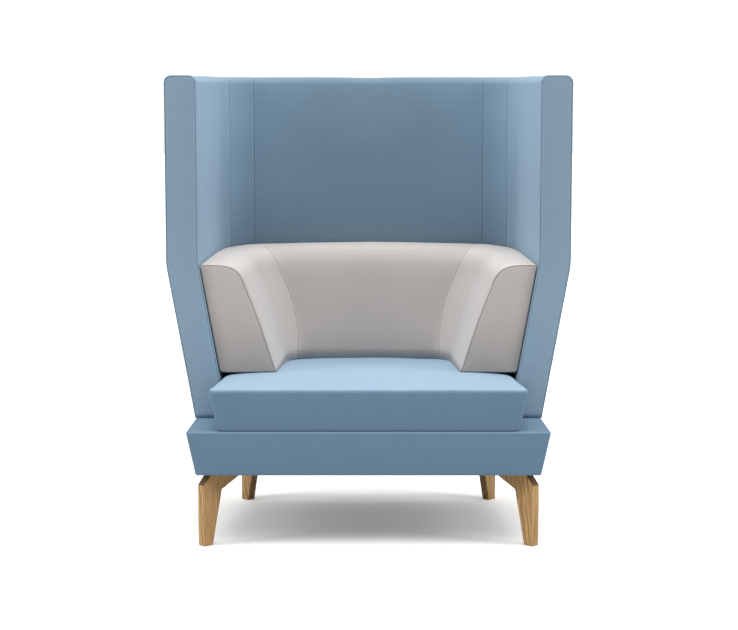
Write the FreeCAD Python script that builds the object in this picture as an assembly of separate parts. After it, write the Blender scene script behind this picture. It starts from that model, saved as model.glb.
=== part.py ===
import FreeCAD, Part
import os
from math import sqrt, sin, cos, radians, degrees, atan2, pi

os.makedirs("parts", exist_ok=True)

# ---------------------------------------------------------------------------
# Acoustic high back lounge chair.  Millimetres.  +Z up, +Y to the rear, +X to
# the right of a viewer who faces the chair.  Origin on the floor, in the
# middle of the footprint.
# ---------------------------------------------------------------------------

# overall
OVERALL_D = 760.0          # depth, base front to rear of the shell
OVERALL_H = 1300.0
Y_FRONT = -OVERALL_D / 2
Y_REAR = OVERALL_D / 2
GAP = 0.3                  # clearance between neighbouring pieces

# shell: two wings and a back, upright above the bend and drawn in below it
SHELL_HALF_W = 574.0       # outer half width at the wing fronts, above the bend
SHELL_T = 90.0             # thickness of the upholstered wall
WING_FRONT_Y = -164.0
SPLAY = 0.0945             # wings close towards the rear by this much per mm
BEND_Z = 766.0
LEAN = 0.1762              # inward slope below the bend
CORNER_R = 205.0           # outer corner radius above the bend
TOP_R = 22.0               # rounding of the shell's top edges
SEAM_A = 42.0              # wing panel to corner panel, degrees round the corner
SEAM_B = 83.0              # corner panel to back panel

# base
BASE_Z0, BASE_Z1 = 204.0, 327.0
BASE_HW0, BASE_HW1 = 473.0, 502.5      # front half width, bottom and top
BASE_YF0, BASE_YF1 = -371.0, Y_FRONT   # front face, bottom and top
BASE_YR0, BASE_YR1 = 272.0, 300.0      # rear face, bottom and top
BASE_RR0, BASE_RR1 = 100.0, 125.0      # rear corner radius, bottom and top
BASE_RF = 8.0                          # front corner radius
BASE_SPLAY = 0.03                      # taper of its sides in front of the wings
BASE_TOP_EDGE, BASE_LOW_EDGE = 6.0, 3.0   # rounding of the top and bottom edges
RAIL_T = 25.0
RAIL_TOP = 300.0

# seat cushion
SEAT_Z0 = BASE_Z1 + GAP
SEAT_EDGE_Z = 439.0
SEAT_HW0, SEAT_HW1 = 417.0, 439.5
SEAT_YF0, SEAT_YF1 = -377.0, Y_FRONT
SEAT_YR = 198.0

# grey arm and back unit
UNIT_Z0 = 457.0            # underside
UNIT_FRONT_Y = -152.0
UNIT_DEPTH = 93.0          # its outer side, measured from the shell's outer face
UNIT_TOP_Z = 766.0         # top of the arms at their front
UNIT_RISE = 0.06           # the top rises towards the rear
ARM_IN_X = 262.0           # inner face of the arm at its foot
ARM_CLOSE = 0.08           # arms close towards the rear
BACK_Y = 138.0             # foot of the reclined back
# height, arm flare, back recline, corner radius
BOWL = [
    (415.0, -10.0, -7.0, 64.0),
    (457.0, 0.0, 0.0, 70.0),
    (551.0, 30.0, 18.0, 74.0),
    (627.0, 56.0, 33.0, 78.0),
    (690.0, 81.0, 46.0, 82.0),
    (740.0, 103.0, 60.0, 90.0),
    (755.0, 119.0, 72.0, 96.0),
    (763.0, 138.0, 88.0, 100.0),
    (766.5, 155.0, 108.0, 104.0),
    (900.0, 156.0, 109.0, 104.0),
]

# seam between an arm and the back, up the inside of the unit: height, x, y
SEAM_LINE = [
    (430.0, 213.5, 111.0), (474.0, 213.0, 126.0), (497.0, 212.6, 134.4), (518.0, 212.8, 141.0),
    (538.0, 214.0, 147.0), (569.0, 217.6, 154.0), (604.0, 224.5, 161.0), (646.0, 236.5, 169.0),
    (690.0, 254.0, 177.3), (745.0, 281.0, 187.5), (762.0, 291.5, 191.0), (880.0, 291.5, 191.0),
]

# legs: flat elbow-shaped oak legs, each in an upright plane at 45 degrees
LEG_T = 27.0
LEG_Z0 = 1.2
LEG_PROFILE = [(-3.8, LEG_Z0), (27.5, LEG_Z0), (61.5, 152.0), (172.0, 204.0), (24.0, 204.0), (-5.5, 172.0)]
LEG_FRONT = (460.5, -348.5)   # middle of the foot's outer edge
LEG_REAR = (382.5, 255.5)
LEG_EDGE_R = 3.5
GLIDE_R = 9.5
GLIDE_H = 3.0              # let into the foot, 1.2 proud
LEG_BOLT_U = (48.0, 92.0)

NORM = sqrt(1 + SPLAY ** 2)


def V(x, y, z=0.0):
    return FreeCAD.Vector(x, y, z)


def wing_x(depth, y):
    """x of the right wing's surface at a depth from its outer face."""
    return SHELL_HALF_W - SPLAY * (y - WING_FRONT_Y) - depth * NORM


CY = Y_REAR - CORNER_R
CX = wing_x(CORNER_R, CY)
A0 = degrees(atan2(SPLAY, 1.0))      # direction of the wing's normal


def draw_in(z):
    return max(0.0, LEAN * (BEND_Z - z))


def to_wire(segs, z, tilt=None):
    """Closed wire through (kind, points) segments at height z."""
    def P(p):
        zz = z if tilt is None else z + tilt * (p[1] - UNIT_FRONT_Y)
        return V(p[0], p[1], zz)
    edges = []
    for s in segs:
        if len(s) == 2:
            edges.append(Part.LineSegment(P(s[0]), P(s[1])).toShape())
        else:
            edges.append(Part.Arc(P(s[0]), P(s[1]), P(s[2])).toShape())
    return Part.Wire(edges)


def loft(wires):
    s = Part.makeLoft(wires, True, True)
    if s.ShapeType == "Shell":
        s = Part.makeSolid(s)
    if s.Volume < 0:
        s.reverse()
    return s


def corner_points(depth):
    """Tangent and middle points of the right corner arc at a depth."""
    r = CORNER_R - depth
    am = radians((A0 + 90.0) / 2)
    t1 = (CX + r * cos(radians(A0)), CY + r * sin(radians(A0)))
    m = (CX + r * cos(am), CY + r * sin(am))
    t2 = (CX, CY + r)
    return t1, m, t2


def mx(p):
    return (-p[0], p[1])


def ring_segs(d0, d1, yf):
    """Plan of the U-shaped wall between two depths."""
    a1, am, a2 = corner_points(d0)
    b1, bm, b2 = corner_points(d1)
    f0 = (wing_x(d0, yf), yf)
    f1 = (wing_x(d1, yf), yf)
    return [
        (f0, a1), (a1, am, a2), (a2, mx(a2)), (mx(a2), mx(am), mx(a1)), (mx(a1), mx(f0)),
        (mx(f0), mx(f1)),
        (mx(f1), mx(b1)), (mx(b1), mx(bm), mx(b2)), (mx(b2), b2), (b2, bm, b1), (b1, f1),
        (f1, f0),
    ]


def ring(d0, d1, yf, z0, z1, top_r=0.0):
    """U-shaped wall between depths d0 and d1, with an optional rounded top."""
    zs = [(z0, 0.0)]
    if z0 < BEND_Z < z1:
        zs.append((BEND_Z, 0.0))
    if top_r:
        for a in (0.0, 30.0, 60.0, 90.0):
            zs.append((z1 - top_r + top_r * sin(radians(a)), top_r * (1 - cos(radians(a)))))
    else:
        zs.append((z1, 0.0))
    return loft([to_wire(ring_segs(d0 + draw_in(z) + i, d1 + draw_in(z) - i, yf), z) for z, i in zs])


def filled_segs(d, yf):
    """Plan of everything inside a depth, behind yf."""
    a1, am, a2 = corner_points(d)
    f = (wing_x(d, yf), yf)
    return [(f, a1), (a1, am, a2), (a2, mx(a2)), (mx(a2), mx(am), mx(a1)), (mx(a1), mx(f)), (mx(f), f)]


def block(x0, x1, y0, y1, z0, z1):
    return Part.makeBox(x1 - x0, y1 - y0, z1 - z0, V(x0, y0, z0))


BIG = 3000.0


def half(px, py, nx, ny):
    """Everything on the far side of an upright plane from its normal."""
    b = Part.makeBox(BIG, 2 * BIG, 2 * BIG, V(0, -BIG, -BIG))
    b.rotate(V(0, 0, 0), V(0, 0, 1), degrees(atan2(-ny, -nx)))
    b.translate(V(px, py, 0))
    return b


def radial(angle, shift=0.0):
    """The wing side of the plane at an angle round the right corner."""
    a = radians(angle)
    nx, ny = -sin(a), cos(a)
    return half(CX + shift * nx, CY + shift * ny, nx, ny)


RIGHT = block(0.0, BIG, -BIG, BIG, -BIG, BIG)


def mirrored(s):
    return s.mirror(V(0, 0, 0), V(1, 0, 0))


def solids(s):
    return [x for x in s.Solids if abs(x.Volume) > 30.0]


def tidy(s):
    """The shape's solids without slivers, as a single solid or a compound."""
    ss = solids(s)
    if len(ss) == 1:
        return ss[0]
    return Part.makeCompound(ss)


BUILT = {}


def save(name, shape):
    shape = tidy(shape)
    BUILT[name] = shape
    shape.exportStep("parts/%s.step" % name)
    ok = all(x.isValid() for x in shape.Solids)
    bb = shape.BoundBox
    print("%-28s solids %2d valid %s vol %10.0f  x %7.1f %7.1f  y %7.1f %7.1f  z %7.1f %7.1f" % (
        name, len(shape.Solids), ok, shape.Volume, bb.XMin, bb.XMax, bb.YMin, bb.YMax, bb.ZMin, bb.ZMax))


def save_pair(name, right):
    save(name + "_right", right)
    save(name + "_left", mirrored(right))


def fuse(shapes):
    out = shapes[0]
    if len(shapes) > 1:
        out = out.multiFuse(shapes[1:])
    return out


def cut(shape, tools):
    for t in tools:
        shape = shape.cut(t)
    return shape


# ---------------------------------------------------------------------------
# tapered box outline of the seat cushion, and the base's outline
# ---------------------------------------------------------------------------

def tub_segs(hw, yf, yr, rf, rr, inset=0.0):
    """Plan with splayed sides; small front corners, large rear corners."""
    yfront = yf
    yf2 = yf + inset
    yr2 = yr - inset
    rf2 = max(rf - inset, 1.5)
    rr2 = max(rr - inset, 1.5)

    def side_x(y, extra):
        return hw - SPLAY * (y - yfront) - (inset + extra) * NORM
    n = (1 / NORM, SPLAY / NORM)
    cy = yf2 + rf2
    cx = side_x(cy, rf2)
    f1 = (cx, yf2)
    d = (n[0], n[1] - 1.0)
    dl = sqrt(d[0] ** 2 + d[1] ** 2)
    fm = (cx + rf2 * d[0] / dl, cy + rf2 * d[1] / dl)
    f2 = (cx + rf2 * n[0], cy + rf2 * n[1])
    cy = yr2 - rr2
    cx = side_x(cy, rr2)
    r1 = (cx + rr2 * n[0], cy + rr2 * n[1])
    d = (n[0], n[1] + 1.0)
    dl = sqrt(d[0] ** 2 + d[1] ** 2)
    rm = (cx + rr2 * d[0] / dl, cy + rr2 * d[1] / dl)
    r2 = (cx, yr2)
    return [
        (f1, fm, f2), (f2, r1), (r1, rm, r2), (r2, mx(r2)), (mx(r2), mx(rm), mx(r1)),
        (mx(r1), mx(f2)), (mx(f2), mx(fm), mx(f1)), (mx(f1), f1),
    ]


def base_side(z, y, inset):
    """x of the base's right side: nearly straight up to the wing, then parallel to it."""
    t = (z - BASE_Z0) / (BASE_Z1 - BASE_Z0)
    hw = BASE_HW0 + (BASE_HW1 - BASE_HW0) * t
    yf = BASE_YF0 + (BASE_YF1 - BASE_YF0) * t
    bend = hw - BASE_SPLAY * (WING_FRONT_Y - yf)
    if y < WING_FRONT_Y:
        return hw - BASE_SPLAY * (y - yf) - inset * NORM
    return bend - SPLAY * (y - WING_FRONT_Y) - inset * NORM


def base_at(z, inset):
    t = (z - BASE_Z0) / (BASE_Z1 - BASE_Z0)

    def mix(a, b):
        return a + (b - a) * t
    yf = mix(BASE_YF0, BASE_YF1) + inset
    yr = mix(BASE_YR0, BASE_YR1) - inset
    rf = max(BASE_RF - inset, 1.5)
    rr = max(mix(BASE_RR0, BASE_RR1) - inset, 1.5)
    # front corner, tangent to the front part of the side
    nf = sqrt(1 + BASE_SPLAY ** 2)
    n = (1 / nf, BASE_SPLAY / nf)
    cy = yf + rf
    cx = base_side(z, cy, inset) - rf * nf
    f1 = (cx, yf)
    d = (n[0], n[1] - 1.0)
    dl = sqrt(d[0] ** 2 + d[1] ** 2)
    fm = (cx + rf * d[0] / dl, cy + rf * d[1] / dl)
    f2 = (cx + rf * n[0], cy + rf * n[1])
    b = (base_side(z, WING_FRONT_Y, inset), WING_FRONT_Y)
    # rear corner
    n = (1 / NORM, SPLAY / NORM)
    cy = yr - rr
    cx = base_side(z, cy, inset) - rr * NORM
    r1 = (cx + rr * n[0], cy + rr * n[1])
    d = (n[0], n[1] + 1.0)
    dl = sqrt(d[0] ** 2 + d[1] ** 2)
    rm = (cx + rr * d[0] / dl, cy + rr * d[1] / dl)
    r2 = (cx, yr)
    return to_wire([
        (f1, fm, f2), (f2, b), (b, r1), (r1, rm, r2), (r2, mx(r2)), (mx(r2), mx(rm), mx(r1)),
        (mx(r1), mx(b)), (mx(b), mx(f2)), (mx(f2), mx(fm), mx(f1)), (mx(f1), f1),
    ], z)


def base_body(inset, z0, z1, edge0=0.0, edge1=0.0):
    zs = []
    if edge0:
        zs += [(z0 + edge0 * (1 - cos(radians(a))), edge0 * (1 - sin(radians(a)))) for a in (0, 30, 60, 90)]
    else:
        zs.append((z0, 0.0))
    if edge1:
        zs += [(z1 - edge1 * (1 - sin(radians(a))), edge1 * (1 - cos(radians(a)))) for a in (0, 30, 60, 90)]
    else:
        zs.append((z1, 0.0))
    return loft([base_at(z, inset + i) for z, i in zs])


# ---------------------------------------------------------------------------
# legs, glides and the hardware that fixes them
# ---------------------------------------------------------------------------

def leg_frame(foot, rear):
    """Origin and inward direction of a right-hand leg."""
    ux, uy = (-1 / sqrt(2), -1 / sqrt(2)) if rear else (-1 / sqrt(2), 1 / sqrt(2))
    return foot, (ux, uy)


def leg_point(frame, u, w, z):
    (ox, oy), (ux, uy) = frame
    return V(ox + u * ux - w * uy, oy + u * uy + w * ux, z)


def prism(frame, pts, w0, w1):
    w = Part.makePolygon([leg_point(frame, u, w0, z) for u, z in pts] + [leg_point(frame, pts[0][0], w0, pts[0][1])])
    d = leg_point(frame, 0, w1, 0) - leg_point(frame, 0, w0, 0)
    return Part.Face(w).extrude(d)


def leg_slab(frame, u0, u1, w0, w1, z0, z1):
    pts = [(u0, z0), (u1, z0), (u1, z1), (u0, z1)]
    return prism(frame, pts, w0, w1)


def rod(p, r, h, d=None):
    return Part.makeCylinder(r, h, p, d or V(0, 0, 1))


legs, plates, bolts, inserts, glides, nails, plate_voids, bolt_voids = {}, [], [], [], [], [], [], []
for tag, foot, rear in (("front", LEG_FRONT, False), ("rear", LEG_REAR, True)):
    fr = leg_frame(foot, rear)
    body = prism(fr, LEG_PROFILE, -LEG_T / 2, LEG_T / 2)
    ud = V(fr[1][0], fr[1][1], 0)
    long_edges = []
    for e in body.Edges:
        a, b = e.Vertexes[0].Point, e.Vertexes[1].Point
        d = b - a
        along_w = abs(d.z) < 1e-6 and abs(d.dot(ud)) < 1e-6
        flat = abs(a.z - b.z) < 1e-6 and (abs(a.z - LEG_Z0) < 1e-6 or abs(a.z - 204.0) < 1e-6)
        if not along_w and not flat:
            long_edges.append(e)
    body = body.makeFillet(LEG_EDGE_R, long_edges)
    gu = 14.5
    glide = rod(leg_point(fr, gu, 0, 0), GLIDE_R, GLIDE_H)
    glide = glide.makeChamfer(0.5, [e for e in glide.Edges if e.Length > 50 and abs(e.CenterOfMass.z) < 1e-6])
    nail = fuse([rod(leg_point(fr, gu, 0, 1.2), 4.0, 1.0), rod(leg_point(fr, gu, 0, 2.0), 1.4, 20.0)])
    nail_void = fuse([rod(leg_point(fr, gu, 0, 1.1), 4.2, 1.3), rod(leg_point(fr, gu, 0, 2.0), 1.6, 20.3)])
    pocket = rod(leg_point(fr, gu, 0, 0.0), GLIDE_R + 0.3, GLIDE_H + 0.3)
    glides.append(glide.cut(nail_void))
    nails.append(nail)
    body = body.cut(fuse([pocket, nail_void]))
    plate = leg_slab(fr, 20.0, 150.0, -32.0, 32.0, 204.3, 207.3)
    for u in LEG_BOLT_U:
        body = body.cut(rod(leg_point(fr, u, 0, 190.0), 5.9, 20.0))
        inserts.append(rod(leg_point(fr, u, 0, 190.5), 5.7, 13.2).cut(rod(leg_point(fr, u, 0, 189.0), 4.3, 20.0)))
        bolts.append(fuse([rod(leg_point(fr, u, 0, 192.0), 4.0, 55.9), rod(leg_point(fr, u, 0, 247.9), 7.0, 5.0)]))
        bolt_voids.append(rod(leg_point(fr, u, 0, 192.0), 4.3, 80.0))
        plate = plate.cut(rod(leg_point(fr, u, 0, 200.0), 4.3, 20.0))
    plates.append(plate)
    plate_voids.append(leg_slab(fr, 19.5, 150.5, -32.5, 32.5, 203.0, 207.6))
    legs[tag] = body

for tag in ("front", "rear"):
    save_pair("leg_" + tag, legs[tag])


def both(shapes):
    return Part.makeCompound(shapes + [mirrored(s) for s in shapes])


def both_list(shapes):
    return shapes + [mirrored(s) for s in shapes]


save("leg_glides", both(glides))
save("leg_glide_nails", both(nails))
save("leg_mount_plates", both(plates))
save("leg_threaded_inserts", both(inserts))
save("leg_bolts", both(bolts))
all_plate_voids = both_list(plate_voids)
all_bolt_voids = both_list(bolt_voids)

# ---------------------------------------------------------------------------
# shell straps: flat steel straps that tie the shell frame to the base rails
# ---------------------------------------------------------------------------

def strap_side(y, g=0.0):
    """Strap on the inner face of the right wing frame and of the base's side rail."""
    pts = []
    for z in (228.0, RAIL_TOP, BASE_Z1, 430.0):
        if z <= RAIL_TOP:
            x = base_side(z, y, 14.5 + RAIL_T + 1.0)
        else:
            x = wing_x(50.6 + draw_in(z), y)
        pts.append((x, z))
    pts[0] = (pts[0][0], pts[0][1] - g)
    pts[-1] = (pts[-1][0], pts[-1][1] + g)
    quads = []
    for x, z in pts:
        a = [(x + g, y - 20 - g), (x - 4 - g, y - 20 - g), (x - 4 - g, y + 20 + g), (x + g, y + 20 + g)]
        a = [(p[0] - SPLAY * (p[1] - y), p[1]) for p in a]
        quads.append(Part.makePolygon([V(p[0], p[1], z) for p in a + [a[0]]]))
    return loft(quads)


def strap_rear(x0, g=0.0):
    pts = []
    for z in (228.0, RAIL_TOP, BASE_Z1, 430.0):
        if z <= RAIL_TOP:
            t = (z - BASE_Z0) / (BASE_Z1 - BASE_Z0)
            y = BASE_YR0 + (BASE_YR1 - BASE_YR0) * t - (14.5 + RAIL_T + 1.0)
        else:
            y = Y_REAR - 50.6 - draw_in(z)
        pts.append((y, z))
    pts[0] = (pts[0][0], pts[0][1] - g)
    pts[-1] = (pts[-1][0], pts[-1][1] + g)
    quads = []
    for y, z in pts:
        a = [(x0 - 20 - g, y + g), (x0 + 20 + g, y + g), (x0 + 20 + g, y - 4 - g), (x0 - 20 - g, y - 4 - g)]
        quads.append(Part.makePolygon([V(p[0], p[1], z) for p in a + [a[0]]]))
    return loft(quads)


strap_y = (-110.0, 60.0)
straps_r = [strap_side(y) for y in strap_y] + [strap_rear(170.0)]
strap_voids_r = [strap_side(y, 0.4) for y in strap_y] + [strap_rear(170.0, 0.4)]
# one bolt into the base rail and one into the shell frame on each strap
strap_bolts_r, strap_bolt_voids_r = [], []


def strap_bolt(p, d):
    """Bolt with its head on the strap, pointing along d into the frame."""
    head = rod(p - d * 5.4, 7.0, 5.0, d)
    shaft = rod(p - d * 1.0, 3.0, 24.0, d)
    strap_bolts_r.append(fuse([head, shaft]))
    strap_bolt_voids_r.append(fuse([rod(p - d * 5.8, 7.4, 5.5, d), rod(p - d * 1.0, 3.3, 24.6, d)]))


for y in strap_y:
    for z in (262.0, 392.0):
        if z < RAIL_TOP:
            x = base_side(z, y, 14.5 + RAIL_T + 1.0) - 4.0
            tilt = (BASE_HW1 - BASE_HW0) / (BASE_Z1 - BASE_Z0)
        else:
            x = wing_x(50.6 + draw_in(z), y) - 4.0
            tilt = LEAN
        d = V(1.0, SPLAY, -tilt)
        d.normalize()
        strap_bolt(V(x, y, z) - d * 0.2, d)
for z in (262.0, 392.0):
    if z < RAIL_TOP:
        t = (z - BASE_Z0) / (BASE_Z1 - BASE_Z0)
        y = BASE_YR0 + (BASE_YR1 - BASE_YR0) * t - (14.5 + RAIL_T + 1.0) - 4.0
        tilt = (BASE_YR1 - BASE_YR0) / (BASE_Z1 - BASE_Z0)
    else:
        y = Y_REAR - 50.6 - draw_in(z) - 4.0
        tilt = LEAN
    d = V(0.0, 1.0, -tilt)
    d.normalize()
    strap_bolt(V(170.0, y, z) - d * 0.2, d)

strap_voids = both_list(strap_voids_r)
strap_bolt_voids = both_list(strap_bolt_voids_r)
strap_shaft_cut = strap_bolt_voids_r
save("shell_straps", both([cut(s, strap_shaft_cut) for s in straps_r]))
save("shell_strap_bolts", both(strap_bolts_r))

# ---------------------------------------------------------------------------
# base: rails, corner blocks, springs, foam, cover, dust cover
# ---------------------------------------------------------------------------

rail_ring = base_body(14.5, BASE_Z0 + 3.6, RAIL_TOP).cut(base_body(14.5 + RAIL_T, BASE_Z0 - 5, RAIL_TOP + 5))
FRONT_CUT_Y = BASE_YF0 + 14.5 + RAIL_T + 2.0
REAR_CUT_Y = 175.0
REAR_RAIL_HX = 288.0
front_rail = rail_ring.common(block(-BIG, BIG, -BIG, FRONT_CUT_Y, 0, 500))
side_rail = rail_ring.common(block(0, BIG, FRONT_CUT_Y + GAP, REAR_CUT_Y, 0, 500))
rear_rail = rail_ring.common(block(-REAR_RAIL_HX, REAR_RAIL_HX, 0, BIG, 0, 500))
rear_corner = rail_ring.common(block(REAR_RAIL_HX + GAP, BIG, REAR_CUT_Y + GAP, BIG, 0, 500))
cutters = all_plate_voids + all_bolt_voids
save("base_front_rail", cut(front_rail, cutters))
save_pair("base_side_rail", cut(side_rail, cutters + strap_bolt_voids_r))
save("base_rear_rail", cut(rear_rail, cutters + strap_bolt_voids))
save("base_rear_corners", both(solids(cut(rear_corner, cutters))))
cross = block(-22.0, 22.0, FRONT_CUT_Y + 8.0, 224.0, 232.0, 292.0)
inside = base_body(14.5 + RAIL_T + GAP, BASE_Z0 - 5, RAIL_TOP + 5)
save("base_cross_rail", cross.common(inside))
blocks = []
for tag, foot, rear in (("front", LEG_FRONT, False), ("rear", LEG_REAR, True)):
    fr = leg_frame(foot, rear)
    b = leg_slab(fr, 0.0, 165.0, -95.0, 95.0, 207.6, 247.6).common(inside)
    blocks.append(cut(b, bolt_voids + strap_voids_r + strap_bolt_voids_r))
save("base_corner_blocks", both(blocks))

# zigzag springs from the front rail to the rear rail
WIRE_R = 1.9
SPRING_Z = RAIL_TOP + WIRE_R + 0.3
SPRING_PITCH = 17.0
springs, clips = [], []


def zigzag(x0, y0, n):
    """One flat zigzag spring: straight cross runs joined by half circles."""
    r = SPRING_PITCH / 2
    hw = 20.0
    edges = []
    y = y0
    side = 1
    for i in range(n):
        a = V(x0 - side * hw, y, SPRING_Z)
        b = V(x0 + side * hw, y, SPRING_Z)
        edges.append(Part.LineSegment(a, b).toShape())
        if i < n - 1:
            edges.append(Part.Arc(b, V(x0 + side * (hw + r), y + r, SPRING_Z), V(x0 + side * hw, y + 2 * r, SPRING_Z)).toShape())
        y += 2 * r
        side = -side
    path = Part.Wire(edges)
    start = edges[0].Vertexes[0].Point
    c = Part.Wire([Part.Circle(start, V(1, 0, 0), WIRE_R).toShape()])
    return path.makePipeShell([c], True, False)


SPRING_Y0 = BASE_YF0 + 14.5 + 12.0
SPRING_N = 35
for x0 in (-255.0, -153.0, -51.0, 51.0, 153.0, 255.0):
    springs.append(zigzag(x0, SPRING_Y0, SPRING_N))
    yend = SPRING_Y0 + SPRING_PITCH * (SPRING_N - 1)
    for yc in (SPRING_Y0, yend):
        # rolled steel clip that holds the end run down on the rail
        shell = rod(V(x0 - 8, yc, SPRING_Z), WIRE_R + 1.3, 16.0, V(1, 0, 0)).cut(
            rod(V(x0 - 9, yc, SPRING_Z), WIRE_R + 0.15, 18.0, V(1, 0, 0)))
        shell = shell.common(block(x0 - 9, x0 + 9, yc - 9, yc + 9, RAIL_TOP + 0.1, 400))
        clips.append(shell)
save("seat_zigzag_springs", Part.makeCompound(springs))
save("seat_spring_clips", Part.makeCompound(clips))

# fabric cover of the base, open underneath with a turned-under hem
outer = base_body(0.0, BASE_Z0, BASE_Z1, BASE_LOW_EDGE, BASE_TOP_EDGE)
void = base_body(2.0, BASE_Z0 + 2.0, BASE_Z1 - 2.0, 1.5, 4.5)
mouth = base_body(26.0, BASE_Z0 - 10.0, BASE_Z0 + 4.0)
slots = strap_voids
save("base_cover", cut(outer.cut(void).cut(mouth), slots + all_plate_voids))
foam = base_body(2.3, BASE_Z0 + 2.3, BASE_Z1 - 2.3, 1.5, 4.5)
cave = base_body(14.2, BASE_Z0 - 10.0, RAIL_TOP + 6.0)
save("base_foam", cut(foam.cut(cave), slots + all_plate_voids))
dust = base_body(27.0, BASE_Z0 + 0.6, BASE_Z0 + 1.6)
save("dust_cover", cut(dust, all_plate_voids + [rod(leg_point(leg_frame(f, r), u, 0, 150), 10, 100)
                                                for f, r in ((LEG_FRONT, False), (LEG_REAR, True)) for u in LEG_BOLT_U]))

# ---------------------------------------------------------------------------
# seat cushion: foam, wadding, cover top, border, under cloth
# ---------------------------------------------------------------------------

def seat_at(z, inset, zref=None):
    zz = z if zref is None else zref
    t = min(1.0, (zz - BASE_Z1) / (SEAT_EDGE_Z - BASE_Z1))
    hw = SEAT_HW0 + (SEAT_HW1 - SEAT_HW0) * t
    yf = SEAT_YF0 + (SEAT_YF1 - SEAT_YF0) * t
    return to_wire(tub_segs(hw, yf, SEAT_YR, 14.0, 108.0, inset), z)


SEAT_STEPS = [(0.0, 0.0), (30.0, 6.5), (85.0, 12.0), (150.0, 16.5), (230.0, 20.0)]


def seat_body(inset, z0, drop=0.0):
    ws = [seat_at(z0, inset)]
    for off, dz in SEAT_STEPS:
        ws.append(seat_at(SEAT_EDGE_Z + dz - drop, inset + off, SEAT_EDGE_Z - drop))
    return loft(ws)


seat_outer = seat_body(0.0, SEAT_Z0)
seat_in = seat_body(1.8, SEAT_Z0 + 1.8, 1.8)
seat_skin = seat_outer.cut(seat_in)
cut_top = block(-BIG, BIG, -BIG, BIG, SEAT_EDGE_Z - 2.4, BIG)
cut_low = block(-BIG, BIG, -BIG, BIG, -BIG, SEAT_Z0 + 2.2)
save("seat_cover_top", seat_skin.common(cut_top))
save("seat_cover_under", seat_skin.common(cut_low))
save("seat_cover_border", seat_skin.common(block(-BIG, BIG, -BIG, BIG, SEAT_Z0 + 2.5, SEAT_EDGE_Z - 2.7)))
wad_out = seat_body(2.1, SEAT_Z0 + 60.0, 2.1)
wad_cut = seat_body(-8.0, SEAT_Z0 + 2.0, 12.0)
save("seat_wadding", wad_out.cut(wad_cut).common(block(-BIG, BIG, -BIG, BIG, SEAT_EDGE_Z - 12.0, BIG)))
save("seat_foam", seat_body(2.1, SEAT_Z0 + 2.1, 12.3))

# ---------------------------------------------------------------------------
# grey arm and back unit
# ---------------------------------------------------------------------------

def bowl_segs(ea, eb, r, t):
    x0 = ARM_IN_X + ea + t
    yb = BACK_Y + eb + t
    nn = sqrt(1 + ARM_CLOSE ** 2)
    yfar = UNIT_FRONT_Y - 90.0

    def side(y, extra=0.0):
        return x0 - ARM_CLOSE * (y - UNIT_FRONT_Y) - extra * nn
    cy = yb - r
    cx = side(cy, r)
    n = (1 / nn, ARM_CLOSE / nn)
    t1 = (cx + r * n[0], cy + r * n[1])
    d = (n[0], n[1] + 1.0)
    dl = sqrt(d[0] ** 2 + d[1] ** 2)
    m = (cx + r * d[0] / dl, cy + r * d[1] / dl)
    t2 = (cx, yb)
    f = (side(yfar), yfar)
    return [(f, t1), (t1, m, t2), (t2, mx(t2)), (mx(t2), mx(m), mx(t1)), (mx(t1), mx(f)), (mx(f), f)]


def unit(t):
    """The whole grey unit, drawn in by t on every side."""
    d = UNIT_DEPTH + t
    yf = UNIT_FRONT_Y + t
    body = loft([to_wire(filled_segs(d + draw_in(z), yf), z) for z in (UNIT_Z0 + t, BEND_Z, 860.0)])
    bowl = loft([to_wire(bowl_segs(ea, eb, r, t), z - (0 if z < 700 else t), UNIT_RISE) for z, ea, eb, r in BOWL])
    y0, y1 = -500.0, 500.0
    prof = [(y0, UNIT_TOP_Z - t + UNIT_RISE * (y0 - UNIT_FRONT_Y)), (y1, UNIT_TOP_Z - t + UNIT_RISE * (y1 - UNIT_FRONT_Y)),
            (y1, 1500.0), (y0, 1500.0)]
    top = Part.Face(Part.makePolygon([V(-900, a, b) for a, b in prof + [prof[0]]])).extrude(V(1800, 0, 0))
    return body.cut(top).cut(bowl)


def seam_region(g):
    """Everything between the two arm-to-back seams, behind them."""
    def quad(z, x, y):
        sx = x - g
        sy = y + g
        dx, dy = 0.5, 0.866
        p = (sx, sy)
        q = (sx + 600 * dx, sy + 600 * dy)
        pts = [(sx, -500.0), p, q, mx(q), mx(p), (-sx, -500.0)]
        return Part.makePolygon([V(a[0], a[1], z) for a in pts + [pts[0]]])
    return loft([quad(*p) for p in SEAM_LINE])


u0, u1 = unit(0.0), unit(2.0)
skin = u0.cut(u1)
back_region = seam_region(0.0)
arm_block = seam_region(-GAP)
front_slab = block(-BIG, BIG, -BIG, UNIT_FRONT_Y + 2.2, 0, 2000)
front_slab_g = block(-BIG, BIG, -BIG, UNIT_FRONT_Y + 2.5, 0, 2000)
save("back_cover", skin.common(back_region))
arm_skin = skin.cut(arm_block).common(RIGHT)
save_pair("arm_front_panel", arm_skin.common(front_slab))
save_pair("arm_cover", arm_skin.cut(front_slab_g))


def arm_frame(g):
    """Plywood arm frame: outer panel, front post board, bottom board."""
    core = unit(22.0 - g)
    panel = ring(UNIT_DEPTH + 22.0 - g, UNIT_DEPTH + 40.0 + g, UNIT_FRONT_Y + 22.0 - g, UNIT_Z0 + 10.0, 800.0)
    board = block(0, BIG, UNIT_FRONT_Y + 22.0 - g, UNIT_FRONT_Y + 40.0 + g, 0, 2000)
    floor = block(0, BIG, -BIG, BIG, 0, UNIT_Z0 + 40.0 + g)
    f = fuse([core.common(panel), core.common(board), core.common(floor)])
    return f.common(block(0, BIG, -BIG, 60.0 + g, 0, 2000))


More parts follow.
